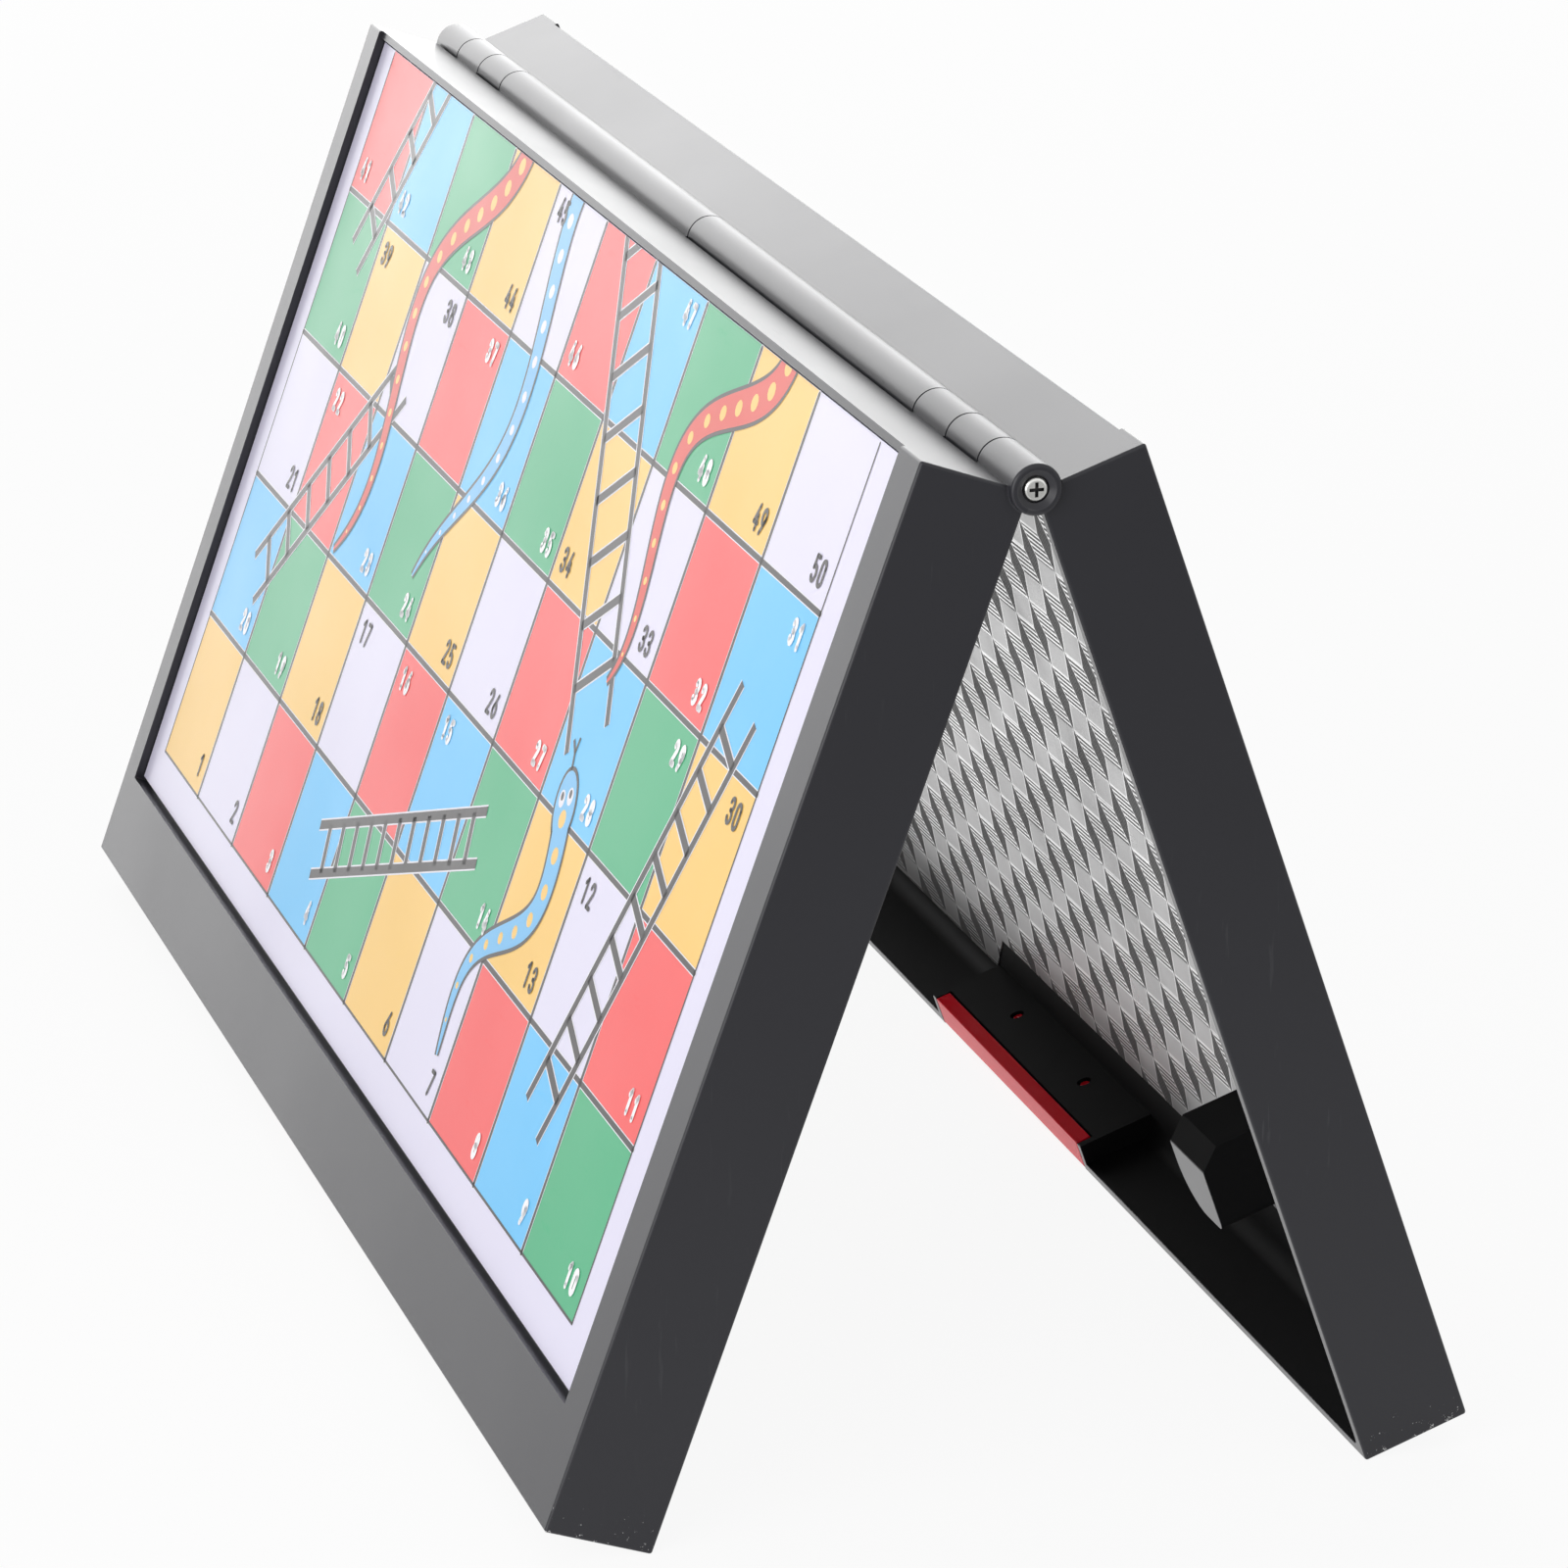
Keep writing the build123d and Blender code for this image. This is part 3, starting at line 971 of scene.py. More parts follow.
class PrintTrees:
    """Geometry node trees that draw the printed board."""

    def __init__(self) -> None:
        """Builds each tree once."""
        self.squares = self._squares()
        self.strokes = self._strokes()
        self.ladder = self._ladder()
        self.snake = self._snake()

    @staticmethod
    def _squares() -> Tree:
        """Coloured squares of one half, as a grid whose faces take their ink from column and row.

        Returns:
            The tree.
        """
        inputs = {
            "Columns": (INTEGER, 10),
            "Rows": (INTEGER, 5),
            "Cell Width": (FLOAT, 22.2),
            "Cell Height": (FLOAT, 21.96),
            "Corner": (VECTOR, None),
            "First Row": (INTEGER, 0),
            "Lowest": (FLOAT, -200.0),
            "Highest": (FLOAT, 200.0),
        }
        sheet = PrintGroup("board_squares", inputs | {name: (MATERIAL, None) for name in SQUARE_INKS})
        take = sheet.take
        counts = (take["Columns"], take["Rows"])
        cells = (take["Cell Width"], take["Cell Height"])
        sizes = [sheet.product(count, cell) for count, cell in zip(counts, cells)]
        corners = [sheet.math("ADD", count, 1.0) for count in counts]
        squares = sheet.add("GeometryNodeMeshGrid", dict(enumerate(sizes + corners))).outputs[0]
        place = sheet.parts(sheet.add("GeometryNodeInputPosition").outputs[0])
        runs = [sheet.math("ADD", start, sheet.product(size, 0.5)) for start, size in zip(place, sizes)]
        column, row = (sheet.math("FLOOR", sheet.math("DIVIDE", run, cell)) for run, cell in zip(runs, cells))
        steps = sheet.product(sheet.math("ADD", row, take["First Row"]), float(INKS_PER_ROW))
        ink = sheet.math("FLOORED_MODULO", sheet.math("ADD", column, steps), float(len(SQUARE_INKS)))
        for index, name in enumerate(SQUARE_INKS):
            chosen = sheet.add("FunctionNodeCompare", {0: ink, 1: float(index), 12: 0.1}, operation="EQUAL")
            squares = sheet.inked(squares, take[name], chosen.outputs[0])
        x, y = (sheet.math("ADD", run, edge) for run, edge in zip(runs, sheet.parts(take["Corner"])))
        kept = sheet.math("MINIMUM", sheet.math("MAXIMUM", y, take["Lowest"]), take["Highest"])
        moved = sheet.add("GeometryNodeSetPosition", {0: squares, 2: sheet.vector(x, kept)})
        return sheet.finish([moved.outputs[0]])

    @staticmethod
    def _strokes() -> Tree:
        """Round-ended lines, for numerals and grid lines.

        Returns:
            The tree.
        """
        inputs = {"Geometry": (GEOMETRY, None), "Width": (FLOAT, 0.55), "Ink": (MATERIAL, None)}
        sheet = PrintGroup("drawn_strokes", inputs)
        drawn = (sheet.take["Geometry"], sheet.take["Width"], sheet.take["Ink"])
        ends = sheet.add("GeometryNodeCurveEndpointSelection", {0: 1, 1: 1})
        return sheet.finish([sheet.ribbon(*drawn), sheet.dots(*drawn, Selection=ends.outputs[0])])

    @staticmethod
    def _ladder() -> Tree:
        """A ladder from its foot up: two rails and evenly spaced rungs.

        Returns:
            The tree.
        """
        inputs = {
            "Length": (FLOAT, 60.0),
            "Rail Gap": (FLOAT, 8.0),
            "Rung Pitch": (FLOAT, 6.0),
            "First Rung": (FLOAT, 4.0),
            "Width": (FLOAT, 1.25),
            "Ink": (MATERIAL, None),
        }
        sheet = PrintGroup("printed_ladder", inputs)
        take = sheet.take
        half = sheet.product(take["Rail Gap"], 0.5)
        rails = [sheet.product(half, side) for side in (-1.0, 1.0)]
        lines = [sheet.line(sheet.vector(x), sheet.vector(x, take["Length"])) for x in rails]
        run = sheet.math("SUBTRACT", take["Length"], sheet.product(take["First Rung"], 2.0))
        gaps = sheet.math("ROUND", sheet.math("DIVIDE", run, take["Rung Pitch"]))
        marks = sheet.add(
            "GeometryNodeMeshLine",
            {
                "Count": sheet.math("ADD", gaps, 1.0),
                "Start Location": sheet.vector(0.0, take["First Rung"]),
                "Offset": sheet.vector(0.0, sheet.math("DIVIDE", run, gaps)),
            },
        )
        lines.append(sheet.realized(sheet.copies(marks.outputs[0], sheet.bar(half))))
        return sheet.finish([sheet.ribbon(sheet.joined(lines), take["Width"], take["Ink"])])

    @staticmethod
    def _snake() -> Tree:
        """A tapering snake along a line from head to tail, with an outline, spots and a head.

        Returns:
            The tree.
        """
        inputs = {
            "Geometry": (GEOMETRY, None),
            "Width": (FLOAT, 6.0),
            "Outline": (FLOAT, 0.55),
            "Spot Pitch": (FLOAT, 4.6),
            "Layer Step": (FLOAT, 0.006),
            "Head Place": (VECTOR, None),
            "Head Turn": (FLOAT, 0.0),
        }
        inks = {name: (MATERIAL, None) for name in ("Skin", "Spots", "Ink", "Eye")}
        sheet = PrintGroup("printed_snake", inputs | inks)
        take = sheet.take
        width, lift = take["Width"], take["Layer Step"]
        border = sheet.math("DIVIDE", take["Outline"], width)

        # Body: outline, skin and spots that grow thin towards the tail
        course = sheet.add("GeometryNodeResampleCurve", {0: take["Geometry"], 3: COURSE_STEP}, mode="LENGTH")
        share = sheet.add("GeometryNodeSplineParameter").outputs[0]
        thinning = sheet.math("SUBTRACT", 1.0, sheet.product(share, TAPER))
        taper = sheet.math("POWER", thinning, TAPER_POWER)
        wider = sheet.math("ADD", taper, sheet.product(border, 2.0))
        sized = sheet.add("GeometryNodeSetCurveRadius", {0: course.outputs[0], 2: taper}).outputs[0]
        marks = sheet.add("GeometryNodeCurveToPoints", {0: sized, 2: take["Spot Pitch"]}, mode="LENGTH")
        radius = sheet.add("GeometryNodeInputRadius").outputs[0]
        body = (
            sheet.ribbon(course.outputs[0], width, take["Ink"], wider),
            sheet.ribbon(course.outputs[0], width, take["Skin"], taper),
            sheet.dots(marks.outputs[0], sheet.product(width, SPOT_SHARE), take["Spots"], Scale=radius),
        )

        # Head, in snake widths until it is placed
        head = []
        for oval in HEAD_OVALS:
            height = sheet.math("DIVIDE", sheet.product(lift, oval.level), width)
            reach = [sheet.math("ADD", border, size) if oval.bordered else size for size in oval.reach]
            disc = sheet.disc(OVAL_CORNERS, 1.0, take[oval.ink])
            head.append(sheet.moved(disc, sheet.vector(*oval.place, height), Scale=sheet.vector(*reach, 1.0)))
        for start, end in TONGUE:
            head.append(sheet.ribbon(sheet.line((*start, 0.0), (*end, 0.0)), TONGUE_WIDTH, take["Ink"]))
        turn = sheet.vector(0.0, 0.0, take["Head Turn"])
        size = sheet.vector(width, width, width)
        parts = [sheet.moved(sheet.joined(head), take["Head Place"], Rotation=turn, Scale=size)]
        for level, part in enumerate(body):
            parts.append(sheet.moved(part, sheet.vector(0.0, 0.0, sheet.product(lift, float(level)))))
        return sheet.finish(parts)


def run_tree(name: str, tree: Tree, inputs: dict[str, object], lines: list[Line] | None = None) -> Mesh:
    """Runs a geometry node tree once and keeps its result as a plain mesh.

    Args:
        name: Name of the mesh.
        tree: Geometry node tree.
        inputs: Values by input name.
        lines: Lines that the tree starts from, in board millimetres, or None for an empty mesh.

    Returns:
        The mesh, in board millimetres.
    """
    if lines is None:
        data: bpy.types.ID = bpy.data.meshes.new(name)
    else:
        data = bpy.data.curves.new(name, "CURVE")
        data.dimensions = "3D"
        for line in lines:
            spline = data.splines.new("POLY")
            spline.points.add(len(line) - 1)
            for point, (x, y) in zip(spline.points, line):
                point.co = (x, y, 0.0, 1.0)
    source = in_scene(name, data)
    modifier = source.modifiers.new("build", "NODES")
    modifier.node_group = tree
    for item in tree.interface.items_tree:
        if item.item_type == "SOCKET" and item.in_out == "INPUT" and item.name in inputs:
            modifier[item.identifier] = inputs[item.name]
    bpy.context.view_layer.update()
    evaluated = source.evaluated_get(bpy.context.evaluated_depsgraph_get())
    mesh = bpy.data.meshes.new_from_object(evaluated)
    bpy.data.objects.remove(source)
    return mesh


def arc(centre: Point, radii: Point, start: float, end: float, count: int = 8) -> Line:
    """Points on an ellipse arc.

    Args:
        centre: Centre of the ellipse.
        radii: Half width and half height.
        start: First angle in degrees.
        end: Last angle in degrees.
        count: Number of steps.

    Returns:
        The points.
    """
    angles = [math.radians(start + (end - start) * step / count) for step in range(count + 1)]
    return [(centre[0] + radii[0] * math.cos(a), centre[1] + radii[1] * math.sin(a)) for a in angles]


# Strokes of each numeral in a box one wide and one high
BOWL = 0.24
NUMERAL_STROKES: dict[str, list[Line]] = {
    "0": [
        arc((0.5, 1 - BOWL), (0.5, BOWL), 0, 180)
        + arc((0.5, BOWL), (0.5, BOWL), 180, 360)
        + [(1.0, 1 - BOWL)]
    ],
    "1": [[(0.12, 0.80), (0.58, 1.0)], [(0.58, 1.0), (0.58, 0.0)]],
    "2": [arc((0.5, 1 - BOWL), (0.46, BOWL), 175, -25) + [(0.06, 0.0)], [(0.06, 0.0), (1.0, 0.0)]],
    "3": [
        arc((0.48, 1 - BOWL), (0.46, BOWL), 165, -90) + [(0.36, 1 - 2 * BOWL)],
        arc((0.48, BOWL + 0.02), (0.5, BOWL + 0.02), 90, -165),
    ],
    "4": [[(0.62, 1.0), (0.0, 0.28)], [(0.0, 0.28), (1.0, 0.28)], [(0.74, 0.58), (0.74, 0.0)]],
    "5": [
        [(0.92, 1.0), (0.12, 1.0)],
        [(0.12, 1.0), (0.08, 0.52)],
        [(0.08, 0.52)] + arc((0.46, 0.30), (0.52, 0.30), 115, -150, 10),
    ],
    "6": [
        [(0.74, 1.0)] + arc((0.5, 0.30), (0.5, 0.30), 165, 180, 2),
        arc((0.5, 0.30), (0.5, 0.30), 180, 540, 16),
    ],
    "7": [[(0.0, 1.0), (0.96, 1.0)], [(0.96, 1.0), (0.34, 0.0)]],
    "8": [
        arc((0.5, 1 - BOWL), (0.42, BOWL), -90, 270, 16),
        arc((0.5, BOWL + 0.02), (0.5, BOWL + 0.02), 90, 450, 16),
    ],
    "9": [
        [(0.26, 0.0)] + arc((0.5, 0.70), (0.5, 0.30), -15, 0, 2),
        arc((0.5, 0.70), (0.5, 0.30), 0, 360, 16),
    ],
}


class NumeralPlace(Enum):
    """Corner of the square that a number stands in: the signs of its x and y from the middle."""

    LOWER_NEAR = (1, -1)
    UPPER_NEAR = (1, 1)
    LOWER_FAR = (-1, -1)
    UPPER_FAR = (-1, 1)


@dataclass
class BoardLayout:
    """Sizes and places of the printed board, in millimetres on the flat board."""

    columns: int = 10
    rows_per_half: int = 5
    cell_width: float = 22.2
    cell_height: float = 21.96
    far_edge: float = -112.7
    hinge_margin: float = 0.4
    sheet_start: float = 1.45

    def first_row(self, half: Half) -> int:
        """First row of a half, counted from the front."""
        return 0 if half is Half.FRONT else self.rows_per_half

    def row_floor(self, row: int) -> float:
        """Lower edge of a row, counted from the front."""
        if row < self.rows_per_half:
            return -self.hinge_margin - (self.rows_per_half - row) * self.cell_height
        return self.hinge_margin + (row - self.rows_per_half) * self.cell_height

    def cell(self, number: int) -> tuple[int, int]:
        """Column and row of a square.

        Args:
            number: Number of the square, from 1.

        Returns:
            Column from the far end and row from the front.
        """
        row, step = divmod(number - 1, self.columns)
        return (step if row % 2 == 0 else self.columns - 1 - step), row

    def centre(self, number: int) -> Point:
        """Middle of a square."""
        column, row = self.cell(number)
        return (
            self.far_edge + (column + 0.5) * self.cell_width,
            self.row_floor(row) + self.cell_height / 2,
        )

    def ink(self, number: int) -> PrintInk:
        """Ink of a square."""
        column, row = self.cell(number)
        return list(SQUARE_INKS.values())[(column + INKS_PER_ROW * row) % len(SQUARE_INKS)]

    def numbers(self, half: Half) -> range:
        """Numbers of the squares on a half."""
        first = self.first_row(half) * self.columns + 1
        return range(first, first + self.rows_per_half * self.columns)


def trimmed(mesh: Mesh, half: Half, start: float) -> Mesh | None:
    """Cuts a printed mesh off at the edge of one half's sheet.

    Args:
        mesh: Mesh on the flat board; it is left as it is.
        half: Half to keep.
        start: Distance of the sheet's edge from the hinge line.

    Returns:
        The part on that half, or None where there is none.
    """
    work = bmesh.new()
    work.from_mesh(mesh)
    bmesh.ops.bisect_plane(
        work,
        geom=work.verts[:] + work.edges[:] + work.faces[:],
        plane_co=(0, half.value * start, 0),
        plane_no=(0, half.value, 0),
        clear_inner=True,
    )
    kept = None
    if work.faces:
        kept = bpy.data.meshes.new(f"{mesh.name}_{half.label}")
        for material in mesh.materials:
            kept.materials.append(material)
        work.to_mesh(kept)
    work.free()
    return kept


def place_print(name: str, meshes: list[Mesh], half: Half, layer: InkLayer) -> None:
    """Joins printed meshes into one piece and lays it on a half's sheet.

    Args:
        name: Name of the piece.
        meshes: Meshes on the flat board, in millimetres.
        half: Half that carries the piece.
        layer: Printed layer, which gives the height above the sheet.
    """
    work = bmesh.new()
    materials: list[bpy.types.Material] = []
    for mesh in meshes:
        known = len(work.faces)
        work.from_mesh(mesh)
        work.faces.ensure_lookup_table()
        for face in work.faces[known:]:
            material = mesh.materials[face.material_index]
            if material not in materials:
                materials.append(material)
            face.material_index = materials.index(material)
    work.normal_update()
    bmesh.ops.reverse_faces(work, faces=[face for face in work.faces if face.normal.z < 0])
    bmesh.ops.transform(work, matrix=half.place(SHEET_FACE + layer.value), verts=work.verts)
    joined = bpy.data.meshes.new(name)
    for material in materials:
        joined.materials.append(material)
    work.to_mesh(joined)
    work.free()
    piece = in_scene(name, joined)
    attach(piece, half.body)
    LOG.info("%s: %d faces on %s", name, len(joined.polygons), half.body)


def place_across(kind: str, meshes: list[Mesh], layout: BoardLayout, layer: InkLayer) -> None:
    """Cuts printed meshes at the hinge and lays each half's share on its sheet.

    Args:
        kind: Name of the two pieces after the half's.
        meshes: Meshes on the flat board, in millimetres.
        layout: The board's layout.
        layer: Printed layer, which gives the height above the sheet.
    """
    for half in Half:
        shares = [trimmed(mesh, half, layout.sheet_start) for mesh in meshes]
        place_print(f"{half.label}_{kind}", [share for share in shares if share is not None], half, layer)


@dataclass
class PrintedSquares:
    """The coloured squares and the dark lines between them."""

    layout: BoardLayout
    line_width: float = 0.72
    border_width: float = 0.36
    keyline: float = 0.14

    def build(self, shop: Workshop, trees: PrintTrees) -> None:
        """Makes the squares, keylines and lines of both halves.

        Args:
            shop: Workshop with the finishes.
            trees: The print's geometry node trees.
        """
        layout = self.layout
        inks = {name: ink.material(shop) for name, ink in SQUARE_INKS.items()}
        pale = {"Width": self.line_width + 2 * self.keyline, "Ink": PALE_INK.material(shop)}
        dark = {"Width": self.line_width, "Ink": DARK_INK.material(shop)}
        for half in Half:
            first = layout.first_row(half)
            inputs: dict[str, object] = {
                "Columns": layout.columns,
                "Rows": layout.rows_per_half,
                "Cell Width": layout.cell_width,
                "Cell Height": layout.cell_height,
                "Corner": (layout.far_edge, layout.row_floor(first), 0.0),
                "First Row": first,
                "Highest" if half is Half.FRONT else "Lowest": half.value * layout.sheet_start,
            }
            squares = run_tree("squares", trees.squares, inputs | inks)
            inner, border = self.lines(half)
            keys = run_tree("keylines", trees.strokes, pale, inner)
            drawn = run_tree("lines", trees.strokes, dark, inner)
            edge = run_tree("border", trees.strokes, dark | {"Width": self.border_width}, border)
            place_print(f"{half.label}_squares", [squares], half, InkLayer.SQUARES)
            place_print(f"{half.label}_keylines", [keys], half, InkLayer.KEYLINES)
            place_print(f"{half.label}_lines", [drawn, edge], half, InkLayer.LINES)

    def lines(self, half: Half) -> tuple[list[Line], list[Line]]:
        """Lines between the squares and round them.

        Args:
            half: Half to draw.

        Returns:
            Inner lines and border lines.
        """
        layout = self.layout
        first = layout.first_row(half)
        far = layout.far_edge
        near = far + layout.columns * layout.cell_width
        outer = half.value * (layout.hinge_margin + layout.rows_per_half * layout.cell_height)
        hinge = half.value * (layout.sheet_start + self.line_width / 2)
        columns = [far + column * layout.cell_width for column in range(1, layout.columns)]
        floors = [layout.row_floor(first + row) for row in range(1, layout.rows_per_half)]
        inner = [[(x, outer), (x, hinge)] for x in columns] + [[(far, y), (near, y)] for y in floors]
        corners = [(far, hinge), (far, outer), (near, outer), (near, hinge)]
        return inner, [[start, end] for start, end in zip(corners, corners[1:])]


@dataclass
class PrintedNumbers:
    """The numbers 1 to 100, drawn in strokes."""

    layout: BoardLayout
    height: float = 3.5
    digit_width: float = 1.85
    digit_pitch: float = 2.35
    dark_stroke: float = 0.58
    white_stroke: float = 0.84
    side_margin: float = 2.5
    end_margin: float = 2.1
    places: dict[int, NumeralPlace] = field(
        default_factory=lambda: {
            **dict.fromkeys((12, 15, 16, 17, 22, 39, 45, 64, 75, 81), NumeralPlace.UPPER_FAR),
            **dict.fromkeys((29, 30, 31, 37, 38, 47, 70, 74, 84), NumeralPlace.UPPER_NEAR),
            **dict.fromkeys((34, 41, 42, 46, 58, 71), NumeralPlace.LOWER_FAR),
        }
    )

    def strokes(self, number: int, stroke: float) -> list[Line]:
        """Strokes of one number in its square.

        Args:
            number: Number to draw.
            stroke: Width of its strokes.

        Returns:
            Lines on the flat board.
        """
        side, end = self.places.get(number, NumeralPlace.LOWER_NEAR).value
        middle = self.layout.centre(number)
        digits = str(number)
        total = self.digit_pitch * (len(digits) - 1) + self.digit_width
        x_edge = middle[0] + side * (self.layout.cell_width / 2 - self.side_margin)
        left = x_edge - total if side > 0 else x_edge
        y_edge = middle[1] + end * (self.layout.cell_height / 2 - self.end_margin)
        low = y_edge - self.height if end > 0 else y_edge
        wide = self.digit_width - stroke
        high = self.height - stroke
        inset = stroke / 2
        drawn = []
        for place, digit in enumerate(digits):
            start = left + place * self.digit_pitch + inset
            for line in NUMERAL_STROKES[digit]:
                drawn.append([(start + x * wide, low + inset + y * high) for x, y in line])
        return drawn

    def build(self, shop: Workshop, trees: PrintTrees) -> None:
        """Makes each half's numbers, pale on the strong inks and dark on white and yellow.

        Args:
            shop: Workshop with the finishes.
            trees: The print's geometry node trees.
        """
        kinds = (
            (DARK_INK, self.dark_stroke, (PAPER, YELLOW_INK)),
            (NUMERAL_WHITE, self.white_stroke, (RED_INK, BLUE_INK, GREEN_INK)),
        )
        for half in Half:
            meshes = []
            for finish, stroke, inks in kinds:
                numbers = [number for number in self.layout.numbers(half) if self.layout.ink(number) in inks]
                lines = [line for number in numbers for line in self.strokes(number, stroke)]
                inputs = {"Width": stroke, "Ink": finish.material(shop)}
                meshes.append(run_tree("numbers", trees.strokes, inputs, lines))
            place_print(f"{half.label}_numbers", meshes, half, InkLayer.NUMBERS)


@dataclass(frozen=True)
class Ladder:
    """One ladder: foot and head of its middle line, rail gap, rung pitch and height of the first rung."""

    foot: Point
    head: Point
    rail_gap: float
    rung_pitch: float
    first_rung: float


@dataclass
class PrintedLadders:
    """The ladders of both halves."""

    layout: BoardLayout
    width: float = 1.25
    keyline: float = 0.22
    dark_lift: float = 0.008
    ladders: tuple[Ladder, ...] = (
        Ladder((-32.7, -98.9), (28.0, -76.8), 6.8, 5.5, 4.5),
        Ladder((76.2, -97.2), (98.1, -36.8), 8.2, 6.8, 6.4),
        Ladder((-97.8, -78.5), (-59.9, -37.7), 7.9, 7.25, 5.5),
        Ladder((52.0, -55.9), (-38.0, 76.0), 12.1, 8.2, 8.5),
        Ladder((-100.2, -29.9), (-77.8, 14.0), 7.3, 7.0, 6.9),
        Ladder((-60.0, 38.0), (-100.0, 72.0), 8.0, 7.0, 5.0),
        Ladder((98.0, 50.0), (98.0, 100.0), 8.0, 7.0, 5.0),
    )

    def build(self, shop: Workshop, trees: PrintTrees) -> None:
        """Makes each half's ladders with a pale keyline under them.

        Args:
            shop: Workshop with the finishes.
            trees: The print's geometry node trees.
        """
        passes = (
            (self.width + 2 * self.keyline, PALE_INK.material(shop), 0.0),
            (self.width, DARK_INK.material(shop), self.dark_lift),
        )
        meshes = []
        for ladder in self.ladders:
            foot = Vector((*ladder.foot, 0.0))
            run = Vector((*ladder.head, 0.0)) - foot
            turn = Matrix.Translation(foot) @ Vector((0, 1, 0)).rotation_difference(run).to_matrix().to_4x4()
            for width, ink, lift in passes:
                inputs = {
                    "Length": run.length,
                    "Rail Gap": ladder.rail_gap,
                    "Rung Pitch": ladder.rung_pitch,
                    "First Rung": ladder.first_rung,
                    "Width": width,
                    "Ink": ink,
                }
                mesh = run_tree("ladder", trees.ladder, inputs)
                mesh.transform(Matrix.Translation((0, 0, lift)) @ turn)
                meshes.append(mesh)
        place_across("ladders", meshes, self.layout, InkLayer.LADDERS)


@dataclass(frozen=True)
class Snake:
    """One snake: head and tail, sway, number of bends, width, skin and spots."""

    head: Point
    tail: Point
    sway: float
    bends: float
    width: float
    skin: PrintInk
    spots: PrintInk


@dataclass
class PrintedSnakes:
    """Plain snakes of this model's own making: each follows a swaying line given by a formula."""

    layout: BoardLayout
    steps: int = 90
    calming: float = 0.35
    snakes: tuple[Snake, ...] = (
        Snake((-44.0, 15.0), (-70.0, -64.0), 9.0, 2.8, 6.0, SNAKE_RED, YELLOW_INK),
        Snake((-3.0, 14.0), (-26.0, -60.0), -8.0, 2.4, 5.6, SNAKE_BLUE, PALE_INK),
        Snake((72.0, 12.0), (47.0, -46.0), 9.0, 2.6, 6.0, SNAKE_RED, YELLOW_INK),
        Snake((53.0, -66.0), (38.0, -103.0), 6.5, 2.0, 5.2, SNAKE_BLUE, YELLOW_INK),
        Snake((36.0, 98.0), (18.0, 50.0), 7.0, 2.2, 4.8, SNAKE_BLUE, PALE_INK),
        Snake((-22.0, 102.0), (-64.0, 58.0), 8.0, 2.4, 5.2, SNAKE_RED, YELLOW_INK),
        Snake((66.0, 78.0), (84.0, 30.0), -7.0, 2.2, 5.0, SNAKE_RED, YELLOW_INK),
    )

    def course(self, snake: Snake) -> Line:
        """Middle line of a snake from head to tail.

        Args:
            snake: The snake.

        Returns:
            Points on the flat board.
        """
        head = Vector(snake.head)
        run = Vector(snake.tail) - head
        across = Vector((-run.y, run.x)).normalized()
        points = []
        for step in range(self.steps + 1):
            share = step / self.steps
            swing = snake.sway * math.sin(math.pi * snake.bends * share) * (1.0 - self.calming * share)
            point = head + run * share + across * swing
            points.append((point.x, point.y))
        return points

    def build(self, shop: Workshop, trees: PrintTrees) -> None:
        """Makes each half's snakes.

        Args:
            shop: Workshop with the finishes.
            trees: The print's geometry node trees.
        """
        meshes = []
        for snake in self.snakes:
            course = self.course(snake)
            ahead = Vector(course[0]) - Vector(course[2])
            inputs = {
                "Width": snake.width,
                "Head Place": (*course[0], 0.0),
                "Head Turn": math.atan2(ahead.y, ahead.x) - math.pi / 2,
                "Skin": snake.skin.material(shop),
                "Spots": snake.spots.material(shop),
                "Ink": DARK_INK.material(shop),
                "Eye": PALE_INK.material(shop),
            }
            meshes.append(run_tree("snake", trees.snake, inputs, [course]))
        place_across("snakes", meshes, self.layout, InkLayer.SNAKES)


# Finish and slot of each CAD node; all of them are shown as they are
NODE_FINISHES: dict[str, tuple[Finish, str]] = {
    "front_tray": (FRONT_PLASTIC, "case_plastic"),
    "back_tray": (BACK_PLASTIC, "case_plastic"),
    "front_steel_plate": (SHEET_STEEL, "steel_plate"),
    "back_steel_plate": (SHEET_STEEL, "steel_plate"),
    "front_game_sheet": (PAPER, "printed_sheet"),
    "back_game_sheet": (PAPER, "printed_sheet"),
    "front_liner": (FRONT_FOIL, "silver_liner"),
    "back_liner": (BACK_FOIL, "silver_liner"),
    "press_latch": (LATCH_PLASTIC, "red_plastic"),
    "catch": (CATCH_PLASTIC, "red_plastic"),
    "latch_spring": (SPRING_STEEL, "screw_steel"),
    "near_hinge_screw": (SCREW_STEEL, "screw_steel"),
    "far_hinge_screw": (SCREW_STEEL, "screw_steel"),
}


def dress_nodes(shop: Workshop) -> None:
    """Gives each CAD node the material of its finish.

    Args:
        shop: Workshop with the finishes.
    """
    for name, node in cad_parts.items():
        finish, slot = NODE_FINISHES[name]
        node.data.materials.clear()
        node.data.materials.append(finish.material(shop))
        LOG.info("%s: %s", name, finish.name)


@dataclass(frozen=True)
class Softbox:
    """Rectangular lamp that faces its target, in metres and watts."""

    name: str
    size: Point
    place: Place
    target: Place
    power: float

    def build(self) -> None:
        """Makes the lamp, unseen by the camera."""
        data = bpy.data.lights.new(self.name, "AREA")
        data.shape = "RECTANGLE"
        data.size, data.size_y = self.size
        data.energy = self.power
        lamp = in_scene(self.name, data)
        lamp.location = self.place
        aim = Vector(self.target) - Vector(self.place)
        lamp.rotation_euler = aim.to_track_quat("-Z", "Y").to_euler()
        lamp.visible_camera = False


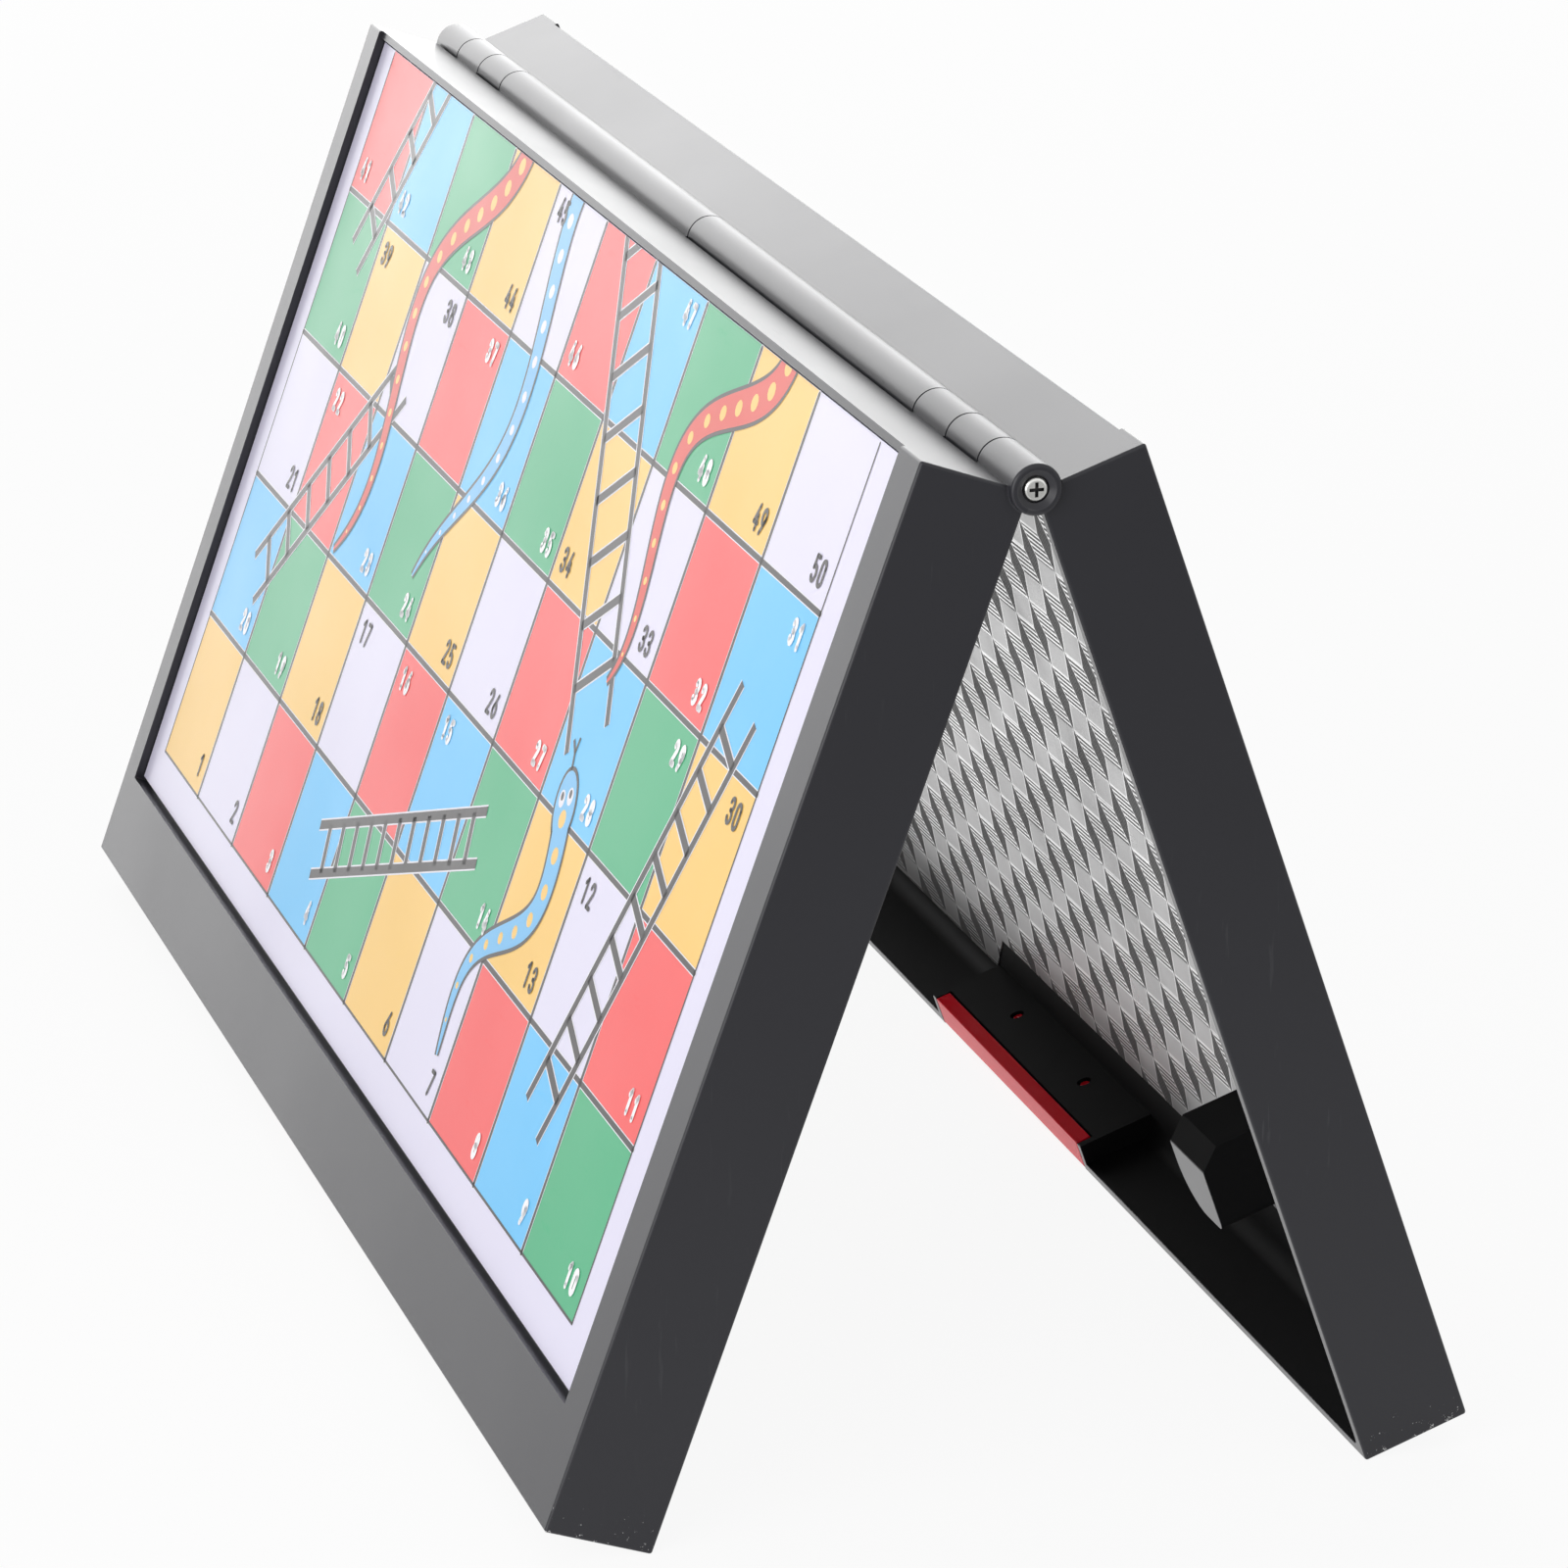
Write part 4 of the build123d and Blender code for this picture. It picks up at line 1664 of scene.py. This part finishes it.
@dataclass(frozen=True)
class PhotoCamera:
    """Camera at the photograph's viewing angle: lens in millimetres, place in metres and its axes."""

    sensor_width: float = 36.0
    lens: float = 143.26
    clip: Point = (0.01, 50.0)
    place: Place = (0.74770, -0.22596, 0.30811)
    right: Place = (0.30058166, 0.95374472, 0.00465478)
    down: Place = (0.30185651, -0.09050107, -0.94904805)
    forward: Place = (-0.90472831, 0.28667152, -0.31509701)

    def build(self) -> None:
        """Makes the camera and looks through it."""
        data = bpy.data.cameras.new("camera")
        data.sensor_width = self.sensor_width
        data.lens = self.lens
        data.clip_start, data.clip_end = self.clip
        camera = in_scene("camera", data)
        axes = (Vector(self.right), -Vector(self.down), -Vector(self.forward))
        turn = Matrix(axes).transposed().to_4x4()
        turn.translation = Vector(self.place)
        camera.matrix_world = turn
        bpy.context.scene.camera = camera


@dataclass
class Studio:
    """Floor, world, lamps and camera. Sizes and the places of the floor's painted shade are in metres."""

    floor_size: float = 12.0
    floor_grey: Colour = (0.93, 0.93, 0.93, 1.0)
    floor_glow: float = 0.92
    floor_roughness: float = 0.12
    floor_ior: float = 1.45
    fade_places: Point = (0.14, 0.44)
    fade_levels: Point = (1.0, 0.2)
    sky_strength: float = 0.36
    seen_strength: float = 1.0
    lamps: tuple[Softbox, ...] = (
        Softbox("back_softbox", (1.95, 1.44), (-1.7, 0.16, 0.725), (0.0, 0.16, 0.725), 27.5),
        Softbox("front_softbox", (0.45, 0.45), (0.38, -0.46, 0.23), (0.08, -0.04, 0.04), 1.75),
    )

    def build(self) -> None:
        """Makes the floor, the world, the lamps and the camera."""
        self.floor()
        self.sky()
        for lamp in self.lamps:
            lamp.build()
        PhotoCamera().build()

    @staticmethod
    def rays(sheet: NodeSheet) -> tuple[Socket, Socket, Socket]:
        """Kinds of ray that meet a surface.

        Args:
            sheet: Nodes of the material or world.

        Returns:
            Masks of the camera's rays, of glossy rays and of all rays that show an image.
        """
        path = sheet.add("ShaderNodeLightPath").outputs
        eye, gloss = path["Is Camera Ray"], path["Is Glossy Ray"]
        return eye, gloss, sheet.fold("MAXIMUM", eye, gloss, path["Is Transmission Ray"])

    def floor(self) -> None:
        """Makes the pale floor, which keeps the object's shadow, with a painted shade: in gloss its glow dims
        towards the front.
        """
        half = self.floor_size / 2
        corners = [(-half, -half, 0), (half, -half, 0), (half, half, 0), (-half, half, 0)]
        mesh = bpy.data.meshes.new("floor")
        mesh.from_pydata(corners, [], [(0, 1, 2, 3)])
        floor = in_scene("floor", mesh)
        material = bpy.data.materials.new("studio_floor")
        sheet = NodeSheet(emptied_tree(material))
        eye, gloss, seen = self.rays(sheet)
        x = sheet.parts(sheet.add("ShaderNodeNewGeometry").outputs["Position"])[0]
        # Painted shade: in reflections the floor's glow drops from full strength to a fifth towards the front
        gloss_painted_shade = sheet.span(x, *self.fade_places, *self.fade_levels)
        strength = sheet.math("ADD", gloss_painted_shade, sheet.product(eye, sheet.math("SUBTRACT", 1.0, gloss_painted_shade)))
        matt = sheet.add("ShaderNodeBsdfDiffuse", {"Color": self.floor_grey}).outputs[0]
        glow = sheet.add("ShaderNodeEmission", {"Color": WHITE, "Strength": strength}).outputs[0]
        share = sheet.product(seen, self.floor_glow)
        pale = sheet.add("ShaderNodeMixShader", {0: share, 1: matt, 2: glow}).outputs[0]
        sheen = {"Color": WHITE, "Roughness": self.floor_roughness}
        mirror = sheet.add("ShaderNodeBsdfGlossy", sheen).outputs[0]
        glancing = sheet.add("ShaderNodeFresnel", {"IOR": self.floor_ior}).outputs[0]
        level = sheet.product(glancing, gloss)
        table = sheet.add("ShaderNodeMixShader", {0: level, 1: pale, 2: mirror}).outputs[0]
        sheet.add("ShaderNodeOutputMaterial", {"Surface": table})
        mesh.materials.append(material)

    def sky(self) -> None:
        """Makes a white world: full strength to the eye and in gloss, softer as light."""
        world = bpy.data.worlds.new("studio_world")
        bpy.context.scene.world = world
        sheet = NodeSheet(emptied_tree(world))
        strength = sheet.blend(self.rays(sheet)[2], self.sky_strength, self.seen_strength)
        background = sheet.add("ShaderNodeBackground", {"Color": WHITE, "Strength": strength})
        sheet.add("ShaderNodeOutputWorld", {"Surface": background.outputs[0]})


def main() -> None:
    """Builds the finishes, the print and the studio in order."""
    logging.basicConfig(level=logging.INFO, format="%(message)s")
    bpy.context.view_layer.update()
    bpy.context.scene.view_settings.view_transform = "Standard"
    shop = Workshop()
    trees = PrintTrees()
    layout = BoardLayout()
    dress_nodes(shop)
    PrintedSquares(layout).build(shop, trees)
    PrintedLadders(layout).build(shop, trees)
    PrintedSnakes(layout).build(shop, trees)
    PrintedNumbers(layout).build(shop, trees)
    Studio().build()


if __name__ == "__main__":
    main()
